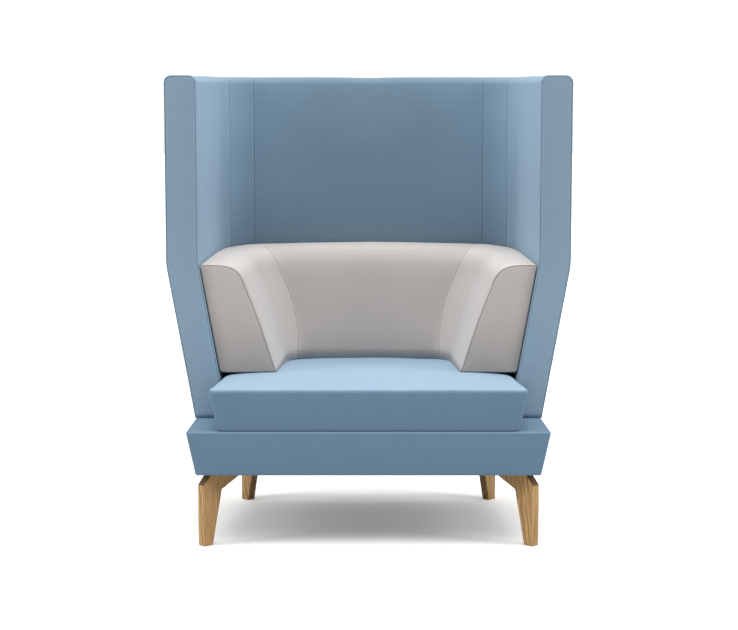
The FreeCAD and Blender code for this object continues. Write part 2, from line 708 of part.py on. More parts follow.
def back_frame(g):
    """Ladder frame behind the back foam, with two windows."""
    p = ring(UNIT_DEPTH + 12.0 - g, UNIT_DEPTH + 30.0 + g, 0.0, UNIT_Z0 + 22.0 - g, 752.0 + g)
    p = p.common(block(-235.0 - g, 235.0 + g, 0, BIG, 0, 2000))
    for sx in (-1, 1):
        a, b = sorted((sx * (22.0 + g), sx * (205.0 - g)))
        p = p.cut(block(a, b, 0, BIG, 515.0 + g, 715.0 - g))
    return p


def webbing(g):
    out = []
    for z in (545.0, 615.0, 685.0):
        ys = [Y_REAR - (UNIT_DEPTH + 30.4) - draw_in(zz) for zz in (z - 22, z + 22)]
        pts = [(ys[0] + g, z - 22 - g), (ys[0] - 1.6 - g, z - 22 - g), (ys[1] - 1.6 - g, z + 22 + g), (ys[1] + g, z + 22 + g)]
        out.append(Part.Face(Part.makePolygon([V(-232 - g, a, b) for a, b in pts + [pts[0]]])).extrude(V(464 + 2 * g, 0, 0)))
    return out


foam_unit = unit(2.3)
af_r = arm_frame(0.0)
save("arm_frames", both(solids(af_r)))
save("back_frame", back_frame(0.0))
save("back_webbing", Part.makeCompound(webbing(0.0)))
afv = arm_frame(GAP)
foam_arm = foam_unit.cut(arm_block).common(RIGHT).cut(afv)
save_pair("arm_foam", foam_arm)
save("back_foam", cut(foam_unit.common(back_region), [back_frame(GAP)] + webbing(GAP)))

# ---------------------------------------------------------------------------
# shell: frames, foam, covers
# ---------------------------------------------------------------------------

SHELL_Z0 = BASE_Z1 + GAP
s0 = ring(0.0, SHELL_T, WING_FRONT_Y, SHELL_Z0, OVERALL_H, TOP_R)
s1 = ring(2.0, SHELL_T - 2.0, WING_FRONT_Y + 2.0, SHELL_Z0 - 20.0, OVERALL_H - 2.0, TOP_R - 2.0)
shell_skin = s0.cut(s1)
border_slab = block(-BIG, BIG, -BIG, WING_FRONT_Y + 3.0, 0, 2000)
border_slab_g = block(-BIG, BIG, -BIG, WING_FRONT_Y + 3.3, 0, 2000)
save_pair("wing_front_border", shell_skin.common(border_slab).common(RIGHT))
rest = shell_skin.cut(border_slab_g)
mid_out = ring(-8.0, 44.7, WING_FRONT_Y - 60.0, SHELL_Z0 - 30.0, OVERALL_H + 20.0)
mid_in = ring(-8.0, 45.0, WING_FRONT_Y - 60.0, SHELL_Z0 - 30.0, OVERALL_H + 20.0)
inner_skin = rest.cut(mid_in)
outer_skin = rest.common(mid_out)
inner_r = inner_skin.common(RIGHT)
save_pair("wing_inner_cover", cut(inner_r.common(radial(SEAM_A)), strap_voids_r))
corner = inner_r.cut(radial(SEAM_A, GAP)).common(radial(SEAM_B))
save_pair("corner_inner_cover", corner)
left_b = mirrored(radial(SEAM_B, GAP).common(RIGHT))
save("back_inner_cover", inner_skin.cut(radial(SEAM_B, GAP).common(RIGHT)).cut(left_b))
outer_r = outer_skin.common(RIGHT)
save_pair("wing_outer_cover", outer_r.common(radial(A0)))
wing_side = radial(A0, GAP).common(RIGHT)
save("rear_outer_cover", outer_skin.cut(wing_side).cut(mirrored(wing_side)))

FRAME_D0, FRAME_D1 = 12.3, 50.0
FRAME_TOP = OVERALL_H - 15.0


def shell_frame(g):
    return ring(FRAME_D0 - g, FRAME_D1 + g, WING_FRONT_Y + 14.0 - g, SHELL_Z0 - (10.0 if g else 0.0), FRAME_TOP + g)


# ladder windows between the frame's rails and studs
WINDOW_Z = [(450.0, 735.0), (800.0, 1030.0), (1072.0, 1240.0)]


def windows():
    out = []
    for z0, z1 in WINDOW_Z:
        for y0, y1 in ((-110.0, 4.0), (42.0, 150.0)):
            out.append(block(300.0, BIG, y0, y1, z0, z1))
        for x0, x1 in ((22.0, 296.0),):
            out.append(block(x0, x1, 200.0, BIG, z0, z1))
        # one window in the bent former, between its two uprights
        wedge = radial(72.0).cut(radial(22.0)).common(block(CX, BIG, CY, BIG, z0, z1))
        out.append(wedge)
    return both_list(out)


frame_ring = cut(shell_frame(0.0), strap_bolt_voids + windows())
fr_r = frame_ring.common(RIGHT)
save_pair("wing_frame", fr_r.common(radial(A0)))
save("corner_formers", both(solids(fr_r.cut(radial(A0, GAP)).common(radial(90.0, -GAP)))))
save("rear_frame", frame_ring.common(block(-CX, CX, CY, BIG, 0, 2000)))
foam_env = ring(2.3, SHELL_T - 2.3, WING_FRONT_Y + 3.6, SHELL_Z0, OVERALL_H - 2.3, TOP_R - 2.0)
shell_foam = cut(foam_env.cut(shell_frame(GAP)), strap_voids + strap_bolt_voids)
split_o = ring(-8.0, 30.0, WING_FRONT_Y - 60.0, SHELL_Z0 - 30.0, OVERALL_H + 20.0)
split_i = ring(-8.0, 30.3, WING_FRONT_Y - 60.0, SHELL_Z0 - 30.0, OVERALL_H + 20.0)
foam_out = shell_foam.common(split_o)
foam_in = shell_foam.cut(split_i)
fi_r = foam_in.common(RIGHT)
save_pair("wing_inner_foam", fi_r.common(radial(A0)))
save_pair("corner_inner_foam", fi_r.cut(radial(A0, GAP)).common(radial(90.0, -GAP)))
save("back_inner_foam", foam_in.common(block(-CX, CX, CY, BIG, 0, 2000)))
fo_r = foam_out.common(RIGHT)
save("wing_outer_foams", both(solids(fo_r.common(radial(A0)))))
save("rear_outer_foam", foam_out.cut(wing_side).cut(mirrored(wing_side)))

print(len(BUILT), "nodes")
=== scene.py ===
import bpy
import bmesh
import math
import numpy as np
from math import sin, cos, radians, degrees, atan2, sqrt, pi
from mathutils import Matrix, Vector, noise
from mathutils.kdtree import KDTree


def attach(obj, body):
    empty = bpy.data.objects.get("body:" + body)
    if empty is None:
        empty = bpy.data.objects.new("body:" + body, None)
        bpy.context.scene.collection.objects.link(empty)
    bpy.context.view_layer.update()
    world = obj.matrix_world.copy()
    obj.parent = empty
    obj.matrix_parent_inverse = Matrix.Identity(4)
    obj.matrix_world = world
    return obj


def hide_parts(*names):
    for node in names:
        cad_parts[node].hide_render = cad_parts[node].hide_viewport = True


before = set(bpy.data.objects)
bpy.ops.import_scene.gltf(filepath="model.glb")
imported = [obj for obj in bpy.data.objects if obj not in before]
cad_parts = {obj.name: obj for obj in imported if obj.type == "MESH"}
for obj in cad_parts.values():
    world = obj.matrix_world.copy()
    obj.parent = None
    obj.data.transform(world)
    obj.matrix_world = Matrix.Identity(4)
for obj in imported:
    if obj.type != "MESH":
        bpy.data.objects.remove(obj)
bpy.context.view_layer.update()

SC = bpy.context.scene

# ---------------------------------------------------------------------------
# camera at the photograph's angle
# ---------------------------------------------------------------------------
cam_data = bpy.data.cameras.new("camera")
cam_data.sensor_width = 36.0
cam_data.lens = 87.13
cam_data.clip_start = 0.1
cam_data.clip_end = 60.0
cam = bpy.data.objects.new("camera", cam_data)
SC.collection.objects.link(cam)
cam.location = (0.0015, -5.203, 1.217)
cam.rotation_euler = (radians(90.0 - 6.7125), 0.0, 0.0)
SC.camera = cam

# ---------------------------------------------------------------------------
# sizes, in millimetres, the same as the construction's
# ---------------------------------------------------------------------------
OVERALL_D, OVERALL_H = 760.0, 1300.0
Y_FRONT, Y_REAR = -380.0, 380.0
HALF_W, SHELL_T = 574.0, 90.0
WING_Y, SPLAY, BEND_Z, LEAN = -164.0, 0.0945, 766.0, 0.1762
CORNER_R, TOP_R = 205.0, 22.0
SEAM_A, SEAM_B = 42.0, 83.0
BASE_Z0, BASE_Z1, BASE_SPLAY = 204.0, 327.0, 0.03
SHELL_Z0 = 327.4
NORM = sqrt(1 + SPLAY ** 2)
CY = Y_REAR - CORNER_R
A0 = degrees(atan2(SPLAY, 1.0))
CX = HALF_W - SPLAY * (CY - WING_Y) - CORNER_R * NORM
Y_TAN = CY + CORNER_R * sin(radians(A0))
UNIT_Z0, UNIT_Y, UNIT_DEPTH, UNIT_TOP, RISE = 457.0, -152.0, 93.0, 766.0, 0.06
ARM_IN_X, ARM_CLOSE, BACK_Y = 262.0, 0.08, 138.0
BOWL = [
    (457.0, 0.0, 0.0, 70.0), (551.0, 30.0, 18.0, 74.0), (627.0, 56.0, 33.0, 78.0),
    (690.0, 81.0, 46.0, 82.0), (740.0, 103.0, 60.0, 90.0), (755.0, 119.0, 72.0, 96.0),
    (763.0, 138.0, 88.0, 100.0), (766.0, 155.0, 108.0, 104.0),
]


def draw_in(z):
    """Inward slope of the shell below the bend, with a soft bend."""
    w = 13.0
    t = BEND_Z - np.asarray(z, float)
    return np.where(t <= -w, 0.0, np.where(t >= w, LEAN * t, LEAN * (t + w) ** 2 / (4 * w)))


def sstep(t):
    t = np.clip(t, 0.0, 1.0)
    return t * t * (3 - 2 * t)


def shell_xy(kind, v, depth, dy=0.0):
    """Plan position at a depth from the shell's outer face.
    kind 0: right wing at y = v; kind 1: right corner at angle v; kind 2: back at x = v."""
    if kind == 0:
        w = sstep((v - WING_Y - 60.0) / (Y_TAN - WING_Y - 60.0))
        y = v + dy - depth * SPLAY / NORM * w
        return HALF_W - SPLAY * (y - WING_Y) - depth * NORM, y
    if kind == 1:
        a = radians(v)
        return CX + (CORNER_R - depth) * cos(a), CY + (CORNER_R - depth) * sin(a)
    return v + 0.0 * depth, Y_REAR - depth


def graded(length, fine0=True, fine1=True, step=14.0, fine=(0.0, 0.25, 0.8, 1.7, 3.0, 5.0, 8.0, 12.0, 19.0)):
    """Distances from 0 to length, close together at the seams."""
    a = [x for x in fine if x < length * 0.45] if fine0 else [0.0]
    b = [length - x for x in fine if x < length * 0.45] if fine1 else [length]
    n = max(1, int(math.ceil((b[-1] - a[-1]) / step)))
    mid = [a[-1] + (b[-1] - a[-1]) * k / n for k in range(1, n)]
    return np.array(a + mid + b[::-1])


def seam_dip(x, h=0.9, w=2.2, soft=0.4, reach=12.0):
    """How far the fabric lies below the face at a distance from a seam."""
    t = np.clip(1 - x / w, 0.0, 1.0)
    return h * (1 - np.sqrt(np.maximum(0.0, 1 - t * t))) + soft * np.exp(-x / reach)


def low_noise(p, scale, seed):
    """Smooth noise from -1 to 1 at points in millimetres."""
    out = np.empty(len(p))
    for i, q in enumerate(p):
        out[i] = noise.noise(Vector((q[0] / scale + seed, q[1] / scale - seed * 0.7, q[2] / scale + seed * 1.3)))
    return out


# ---------------------------------------------------------------------------
# mesh making
# ---------------------------------------------------------------------------
PIECES = {}


def painted_light_shade_of(name, P):
    """Painted light and shade of the cloth at points in millimetres, a multiplier of its colour: lighter where faces
    catch the light, darker deep in the shell, low down, by some seams and where parts meet.
    """
    x, y, z = P.T
    # painted shade: the arm fronts darker, more so towards the seat
    if name.startswith("arm_front"):
        return 0.78 - 0.17 * sstep((660.0 - z) / 200.0)
    # painted light and shade: the arm tops lighter, the arms' inner faces below them darker, more so low down and by
    # the front edge
    if name.startswith("arm_pad"):
        return 1.12 - 0.24 * sstep((785.0 - z) / 60.0) - 0.01 * sstep((600.0 - z) / 120.0) - 0.07 * sstep((UNIT_Y + 26.0 - y) / 22.0) * sstep((790.0 - z) / 30.0)
    # painted shade: the back pad darker below its top roll, more so towards the seat
    if name == "back_pad":
        return 1.0 - 0.16 * sstep((770.0 - z) / 70.0) - 0.08 * sstep((560.0 - z) / 90.0)
    # painted shade: the wing fronts darker towards the top
    if name.startswith("wing_front"):
        return 1.04 - 0.08 * sstep((z - 640.0) / 300.0)
    # painted shade: the base's top face and the top of its edge darker, under the cushion
    if name == "base_pad":
        return 1.0 - 0.18 * sstep((z - 325.2) / 1.2)
    # painted light and shade: the inner wings lighter towards the top and darker towards the back, with a dark line
    # behind the front seam and a darker rim
    if name.startswith("wing_inner"):
        top = 0.24 * sstep((z - 880.0) / 400.0)
        line = 1.0 - 0.15 * np.exp(-((y - WING_Y - 17.0) / 4.5) ** 2) * sstep((z - 800.0) / 40.0)
        return (1.04 + top - 0.14 * sstep((y - 175.0) / 75.0)) * line * (1.0 - 0.10 * sstep((z - 1286.0) / 8.0))
    # painted light and shade: the corners lighter high up, darker low down and where they turn to the back, with a
    # darker rim
    if name.startswith("corner_inner"):
        turn = 1.09 - 0.15 * sstep((428.0 - np.abs(x)) / 78.0)
        return (1.0 + 0.12 * sstep((z - 1040.0) / 200.0) - 0.19 * sstep((1010.0 - z) / 220.0)) * turn * (1.0 - 0.10 * sstep((z - 1286.0) / 8.0))
    # painted light and shade: the back panel lighter high up at the sides, darker low down, with a darker rim
    if name.startswith("back_inner"):
        side = sstep((np.abs(x) - 120.0) / 200.0)
        return (0.95 + (0.03 + 0.07 * sstep((z - 1040.0) / 170.0)) * side - (0.13 + 0.08 * side) * sstep((1010.0 - z) / 260.0)) * (1.0 - 0.10 * sstep((z - 1286.0) / 8.0))
    # painted light and shade: the cushion's top lighter, its border below the seam darker, with a dark line at its foot
    # on the base
    if name == "seat_cushion":
        return (1.13 - 0.21 * sstep((437.0 - z) / 2.0)) * (1.0 - 0.42 * sstep((331.0 - z) / 3.4))
    return np.ones(len(P))


def new_object(name, verts, faces, fab=None, seam=None, painted_light_shade=None, mirror=False, recalc=True):
    """Object from millimetre points; fab holds the cloth's own coordinates in metres."""
    v = np.array(verts, float) * 0.001
    if mirror:
        v = v * np.array([-1.0, 1.0, 1.0])
    me = bpy.data.meshes.new(name)
    me.from_pydata([tuple(x) for x in v], [], [tuple(int(i) for i in f) for f in faces])
    me.validate(clean_customdata=False)
    if recalc:
        bm = bmesh.new()
        bm.from_mesh(me)
        bmesh.ops.recalc_face_normals(bm, faces=bm.faces)
        bm.to_mesh(me)
        bm.free()
    me.polygons.foreach_set("use_smooth", [True] * len(me.polygons))
    n = len(me.vertices)
    a = me.attributes.new("fab", "FLOAT_VECTOR", "POINT")
    f = np.zeros((n, 3)) if fab is None else np.array(fab, float)
    a.data.foreach_set("vector", f.astype(np.float32).ravel())
    a = me.attributes.new("seam", "FLOAT", "POINT")
    s = np.full(n, 1.0) if seam is None else np.array(seam, float)
    a.data.foreach_set("value", s.astype(np.float32))
    # painted light and shade, per point, that the cloth's colour is multiplied by
    a = me.attributes.new("painted_light_shade", "FLOAT", "POINT")
    co = np.zeros(n * 3, np.float32)
    me.vertices.foreach_get("co", co)
    a.data.foreach_set("value", painted_light_shade_of(name, co.reshape(-1, 3) * 1000.0).astype(np.float32))
    o = bpy.data.objects.new(name, me)
    SC.collection.objects.link(o)
    PIECES[name] = o
    return o


def quads(n0, n1, start=0, flip=False, wrap1=False):
    i = np.arange(n0 - 1)[:, None]
    j = np.arange(n1 if wrap1 else n1 - 1)[None, :]
    a = i * n1 + j
    b = i * n1 + (j + 1) % n1
    c = (i + 1) * n1 + (j + 1) % n1
    d = (i + 1) * n1 + j
    q = np.stack([a, b, c, d], -1).reshape(-1, 4) + start
    return q[:, ::-1] if flip else q


def slab(name, F, B, fab, seam, mirror=False):
    """Closed pad between a front grid and a back grid of points."""
    n0, n1 = F.shape[:2]
    N = n0 * n1
    verts = np.concatenate([F.reshape(-1, 3), B.reshape(-1, 3)])
    faces = [quads(n0, n1), quads(n0, n1, N, True)]
    idx = np.arange(N).reshape(n0, n1)
    walls = []
    for line in (idx[0, :], idx[:, -1], idx[-1, ::-1], idx[::-1, 0]):
        a, b = line[:-1], line[1:]
        walls.append(np.stack([b, a, a + N, b + N], -1))
    faces = np.concatenate(faces + walls)
    fab2 = np.concatenate([fab.reshape(-1, 3), fab.reshape(-1, 3)])
    seam2 = np.concatenate([seam.reshape(-1), np.zeros(N)])
    return new_object(name, verts, faces, fab2, seam2, mirror=mirror)


def cloth_coords(F, ri=None, rj=None, offset=(0.0, 0.0)):
    """Lengths along a grid's two directions, in metres, measured on its middle lines."""
    n0, n1 = F.shape[:2]
    rj = n1 // 2 if rj is None else rj
    ri = n0 // 2 if ri is None else ri
    a = np.concatenate([[0], np.cumsum(np.linalg.norm(np.diff(F[:, rj], axis=0), axis=1))]) * 0.001
    b = np.concatenate([[0], np.cumsum(np.linalg.norm(np.diff(F[ri], axis=0), axis=1))]) * 0.001
    out = np.zeros((n0, n1, 3))
    out[..., 0] = a[:, None] + offset[0]
    out[..., 1] = b[None, :] + offset[1]
    return out


def polyline_distance(px, py, poly):
    """Distance from points to an open polyline in the plane."""
    best = np.full(px.shape, 1e9)
    for (ax, ay), (bx, by) in zip(poly[:-1], poly[1:]):
        dx, dy = bx - ax, by - ay
        l2 = max(dx * dx + dy * dy, 1e-12)
        t = np.clip(((px - ax) * dx + (py - ay) * dy) / l2, 0, 1)
        best = np.minimum(best, np.hypot(px - ax - t * dx, py - ay - t * dy))
    return best


# ---------------------------------------------------------------------------
# shell pads
# ---------------------------------------------------------------------------
R_IN = TOP_R


def inner_path(z0=SHELL_Z0):
    """Inner face, top rounding, top and outer rounding: rows of (d, z, nd, nz, back d, back z, e, length to seam)."""
    rows = []
    for z in z0 + graded(1278.0 - z0, False, False, 15.0):
        rows.append((90.0, z, 1.0, 0.0, 50.3, z, 0.8 + 0.4 * float(sstep((z - 740.0) / 60.0))))
    for k in range(1, 9):
        a = radians(90.0 * k / 8)
        rows.append((68.0 + R_IN * cos(a), 1278.0 + R_IN * sin(a), cos(a), sin(a), 50.3, 1278.0 + 7.2 * k / 8, 1.2 + 1.6 * k / 8))
    for k in range(1, 5):
        d = 68.0 - 46.0 * k / 4
        rows.append((d, 1300.0, 0.0, 1.0, 50.3 - 28.0 * k / 4, 1285.3, 2.8))
    for k, aa in enumerate((96.0, 102.0, 107.0, 111.0, 114.0, 116.0)):
        a = radians(aa)
        rows.append((22.0 + R_IN * cos(a), 1278.0 + R_IN * sin(a), cos(a), sin(a), 22.3 - 9.6 * (k + 1) / 6, 1285.3, 2.8 + 0.2 * (aa - 90) / 90))
    return np.array(rows)


def outer_path(z0=SHELL_Z0):
    rows = []
    for z in z0 + graded(1278.0 - z0, False, False, 15.0):
        rows.append((0.0, z, -1.0, 0.0, 12.0, z, 3.0))
    for k, aa in enumerate((172.0, 163.0, 154.0, 145.0, 137.0, 130.0, 125.0, 121.0, 118.5, 117.0)):
        a = radians(aa)
        rows.append((22.0 + R_IN * cos(a), 1278.0 + R_IN * sin(a), cos(a), sin(a), 12.0, 1278.0 + 17.5 * (k + 1) / 10, 2.8 + 0.2 * (aa - 90) / 90))
    return np.array(rows)


def path_to_end(path):
    seg = np.hypot(np.diff(path[:, 0]), np.diff(path[:, 1]))
    c = np.concatenate([[0], np.cumsum(seg)])
    return c[-1] - c


# nose of a cover that turns over a front edge: (share of the inset, distance behind the front plane)
NOSE_SOFT = [(1.05, 1.7), (1.02, 0.9), (0.93, 0.4), (0.78, 0.12), (0.62, 0.2), (0.45, 1.0), (0.30, 2.6), (0.17, 5.2), (0.08, 8.6), (0.02, 12.5)]
NOSE_HARD = [(1.05, 1.7), (1.02, 0.9), (0.93, 0.35), (0.76, 0.08), (0.55, 0.12), (0.34, 0.6), (0.17, 1.4), (0.06, 2.6), (0.01, 4.4), (0.0, 8.0)]


def shell_pad(name, stations, path, front, end_seams, mirror=False, puff=2.0, seed=1.0, nose=NOSE_SOFT, wrinkle=0.35, seams_q=True):
    """A pad that follows the shell's wall. stations: list of (kind, value, run), run being the length along the face.
    front: the pad turns over the wing's front edge at its first end."""
    runs = np.array([s[2] for s in stations])
    L = runs[-1]
    to_q = path_to_end(path)
    n_nose = len(nose) if front else 0
    n0, n1 = len(stations) + n_nose, len(path)
    F, B = np.zeros((n0, n1, 3)), np.zeros((n0, n1, 3))
    seam = np.zeros((n0, n1))
    d0, z0, nd, nz, bd, bz, e = path.T
    z_all = z0
    # slight crown between the seams, none at the top edge
    qq = np.clip((z_all - SHELL_Z0) / (1278.0 - SHELL_Z0), 0, 1)
    crown_q = np.sin(pi * np.clip(qq, 0, 1)) ** 0.5 * (z_all <= 1278.0)
    for i in range(n0):
        if i < n_nose:
            share, back = nose[i]
            inset = share * e
            dd, zz = d0 - inset * nd, z0 - inset * nz
            D = dd + draw_in(zz)
            y = WING_Y + back
            F[i, :, 0] = HALF_W - SPLAY * (y - WING_Y) - D * NORM
            F[i, :, 1] = y
            F[i, :, 2] = zz
            ib = 1.10 * e + 0.1
            db, zb = d0 - ib * nd, z0 - ib * nz
            yb = WING_Y + 3.4 + (13.8 - 3.4) * i / max(1, n_nose - 1)
            F_D = db + draw_in(zb)
            B[i, :, 0] = HALF_W - SPLAY * (yb - WING_Y) - F_D * NORM
            B[i, :, 1] = yb
            B[i, :, 2] = zb
            seam[i] = 0.0 if i < 1 else i * 1.3
            continue
        kind, v, run = stations[i - n_nose]
        dist = np.full(n1, 999.0)
        dip = np.zeros(n1)
        if end_seams[0]:
            dip += seam_dip(run)
            dist = np.minimum(dist, run)
        if end_seams[1]:
            dip += seam_dip(L - run)
            dist = np.minimum(dist, L - run)
        if seams_q:
            dip += seam_dip(to_q, 0.7, 2.0, 0.25, 6.0)
            dist = np.minimum(dist, to_q)
        cr = puff * crown_q * (sin(pi * min(1.0, max(0.0, run / L))) ** 0.6 if L > 0 else 0.0)
        off = cr - dip
        dd, zz = d0 + off * nd, z0 + off * nz
        D = dd + draw_in(zz)
        x, y = shell_xy(kind, v, D)
        F[i, :, 0], F[i, :, 1], F[i, :, 2] = x, y, zz
        Db = bd + draw_in(bz)
        x, y = shell_xy(kind, v, Db)
        B[i, :, 0], B[i, :, 1], B[i, :, 2] = x, y, bz
        seam[i] = dist
    # cloth's small waves, fading out at the seams and rims
    P = F.reshape(-1, 3)
    nrm = np.zeros_like(F)
    for i in range(n0):
        if i < n_nose:
            continue
        kind, v, run = stations[i - n_nose]
        if kind == 0:
            hx, hy = 1 / NORM, SPLAY / NORM
        elif kind == 1:
            hx, hy = cos(radians(v)), sin(radians(v))
        else:
            hx, hy = 0.0, 1.0
        nrm[i, :, 0], nrm[i, :, 1], nrm[i, :, 2] = -hx * nd, -hy * nd, nz
    amp = (0.6 * low_noise(P, 130.0, seed) + 0.4 * low_noise(P, 47.0, seed + 5)).reshape(n0, n1) * wrinkle
    fade = sstep(seam / 10.0) * sstep((to_q[None, :]) / 10.0)
    F += nrm * (amp * fade)[..., None]
    # the rim: lower just behind the front borders, level along the back with a slight hollow in the middle
    behind = F[..., 1] - WING_Y
    rim = 1.2 * sstep(behind / 260.0) - 3.2 * sstep((behind - 4.0) / 56.0) * (1.0 - 0.85 * sstep((behind - 60.0) / 230.0))
    rim = rim - 2.0 * np.exp(-(F[..., 0] / 80.0) ** 2) * sstep((behind - 300.0) / 60.0)
    F[..., 2] += rim * sstep((F[..., 2] - 1120.0) / 160.0)
    fab = cloth_coords(F, rj=n1 // 3)
    return slab(name, F, B, fab, seam * 0.001, mirror)


def wing_run(y0, y1, depth, **kw):
    g = graded(y1 - y0, **kw)
    return [(0, y0 + t, t) for t in g]


def corner_run(a0, a1, radius, start, fine0, fine1, step=9.0):
    L = radians(a1 - a0) * radius
    return [(1, a0 + degrees(t / radius), start + t) for t in graded(L, fine0, fine1, step)]


IN_R = CORNER_R - SHELL_T
INNER, OUTER = inner_path(), outer_path()

# small parting between neighbouring pads, as an angle at the inner radius
gap_a = degrees(0.07 / IN_R)


def make_shell():
    st = wing_run(WING_Y + 14.0, Y_TAN, 90, fine0=False, fine1=False, step=13.0)[:-1]
    Lw = Y_TAN - WING_Y - 14.0
    st += corner_run(A0, SEAM_A - gap_a, IN_R, Lw, False, True)
    for side, m in (("right", False), ("left", True)):
        o = shell_pad("wing_inner_pad_" + side, st, INNER, True, (False, True), m, puff=1.5, seed=3.0 + m)
        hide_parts("wing_inner_cover_" + side, "wing_inner_foam_" + side)
    st = corner_run(SEAM_A + gap_a, SEAM_B - gap_a, IN_R, 0.0, True, True)
    for side, m in (("right", False), ("left", True)):
        o = shell_pad("corner_inner_pad_" + side, st, INNER, False, (True, True), m, puff=1.0, seed=7.0 + m)
        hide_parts("corner_inner_cover_" + side, "corner_inner_foam_" + side)
    # back panel, from the seam at the right corner to the one at the left
    half = corner_run(SEAM_B + gap_a, 90.0, IN_R, 0.0, True, False)
    Lc = half[-1][2]
    back = [(2, CX - t, Lc + t) for t in graded(2 * CX, False, False, 13.0)][1:-1]
    full = half + back
    L2 = Lc + 2 * CX
    rest = [(3, a, L2 + Lc - r) for (_, a, r) in half[::-1]]
    st = full + rest
    o = shell_pad2("back_inner_pad", st, INNER, (True, True), puff=2.0, seed=11.0)
    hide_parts("back_inner_cover", "back_inner_foam")
    # outside
    st = wing_run(WING_Y + 9.0, Y_TAN - 0.4, 0, fine0=False, fine1=True, step=15.0)
    for side, m in (("right", False), ("left", True)):
        o = shell_pad("wing_outer_pad_" + side, st, OUTER, True, (False, True), m, puff=1.2, seed=13.0 + m, nose=NOSE_HARD)
        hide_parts("wing_outer_cover_" + side, "wing_outer_foams")
    ga = degrees(0.4 / CORNER_R)
    half = corner_run(A0 + ga, 90.0, CORNER_R, 0.0, True, False, 13.0)
    Lc = half[-1][2]
    back = [(2, CX - t, Lc + t) for t in graded(2 * CX, False, False, 15.0)][1:-1]
    L2 = Lc + 2 * CX
    rest = [(3, a, L2 + Lc - r) for (_, a, r) in half[::-1]]
    o = shell_pad2("rear_outer_pad", half + back + rest, OUTER, (True, True), puff=1.5, seed=17.0)
    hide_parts("rear_outer_cover", "rear_outer_foam")


_shell_xy = shell_xy


def shell_xy(kind, v, depth, dy=0.0):
    if kind == 3:  # left corner at the mirrored angle
        x, y = _shell_xy(1, v, depth)
        return -x, y
    return _shell_xy(kind, v, depth, dy)


def shell_pad2(name, stations, path, end_seams, **kw):
    return shell_pad(name, stations, path, False, end_seams, False, **kw)


def make_borders():
    """Flat front panels of the wings, inside a seam that follows the edges."""
    def inset_line(path):
        d0, z0, nd, nz, bd, bz, e = path.T
        return np.stack([d0 - (1.14 * e + 0.25) * nd, z0 - (1.14 * e + 0.25) * nz], -1)
    inn, out = inset_line(INNER), inset_line(OUTER)
    line = np.concatenate([out, inn[::-1]])          # outer bottom, over the top, inner bottom
    z_top = line[:, 1].max()
    k = int(np.argmax(line[:, 1] >= z_top - 1e-6))
    left = line[:len(out) + 6]
    zs = SHELL_Z0 + graded(z_top - SHELL_Z0, False, True, 14.0, fine=(0.0, 0.25, 0.8, 1.7, 3.0, 4.6, 6.5, 9.0, 12.0, 15.5, 19.5, 24.0))
    # outer and inner limits at each height
    lo = np.array([np.interp(z, out[:, 1], out[:, 0]) if z <= out[-1, 1] else None for z in zs], dtype=object)
    oline = np.concatenate([out, inn[::-1][:7]])
    oline = oline[np.argsort(oline[:, 1], kind="stable")]
    up = inn[:int(np.argmax(inn[:, 1] >= z_top - 1e-6)) + 1]
    d_in = np.interp(zs, up[:, 1], up[:, 0])
    oz = np.maximum.accumulate(oline[:, 1])
    d_out = np.interp(zs, oz, oline[:, 0])
    gw = graded(1.0, False, False, 0.2)
    n1 = 31
    base = graded(82.0, True, True, 9.0, fine=(0.0, 0.25, 0.8, 1.7, 3.0, 5.0, 8.0, 12.0)) / 82.0
    D = d_out[:, None] + (d_in - d_out)[:, None] * base[None, :]
    Z = np.repeat(zs[:, None], len(base), 1)
    dist = polyline_distance(D, Z, line)
    P = np.stack([D, np.full_like(D, 0.0), Z], -1).reshape(-1, 3)
    wav = (0.55 * low_noise(P, 60.0, 21.0) + 0.45 * low_noise(P * np.array([1, 1, 0.45]), 22.0, 23.0)).reshape(D.shape)
    near_top = np.exp(-np.maximum(0, z_top - Z) / 38.0)
    puff = 1.3 * sstep(dist / 34.0)
    y = WING_Y - puff + seam_dip(dist, 0.9, 1.9, 0.3, 6.0) + wav * (0.25 + 0.75 * near_top) * sstep(dist / 6.0)
    # a short pucker where the cloth turns at the top
    pk = (D - 46.0) - 6.0 * np.sin((z_top - Z) / 30.0)
    y += 0.9 * np.exp(-(pk / 3.2) ** 2) * np.exp(-np.maximum(0, z_top - Z) / 26.0) * sstep(dist / 4.0)
    X = HALF_W - SPLAY * (y - WING_Y) - (D + draw_in(Z)) * NORM
    F = np.stack([X, y, Z], -1)
    B = F.copy()
    B[..., 1] = WING_Y + 13.6
    B[..., 0] = HALF_W - SPLAY * (B[..., 1] - WING_Y) - (D + draw_in(Z)) * NORM
    fab = cloth_coords(F.transpose(1, 0, 2), ri=len(base) // 2, rj=len(zs) // 2).transpose(1, 0, 2)
    for side, m in (("right", False), ("left", True)):
        o = slab("wing_front_border_pad_" + side, F, B, fab, dist * 0.001, m)
        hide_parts("wing_front_border_" + side)


# ---------------------------------------------------------------------------
# tapered tubs: base and seat cushion
# ---------------------------------------------------------------------------

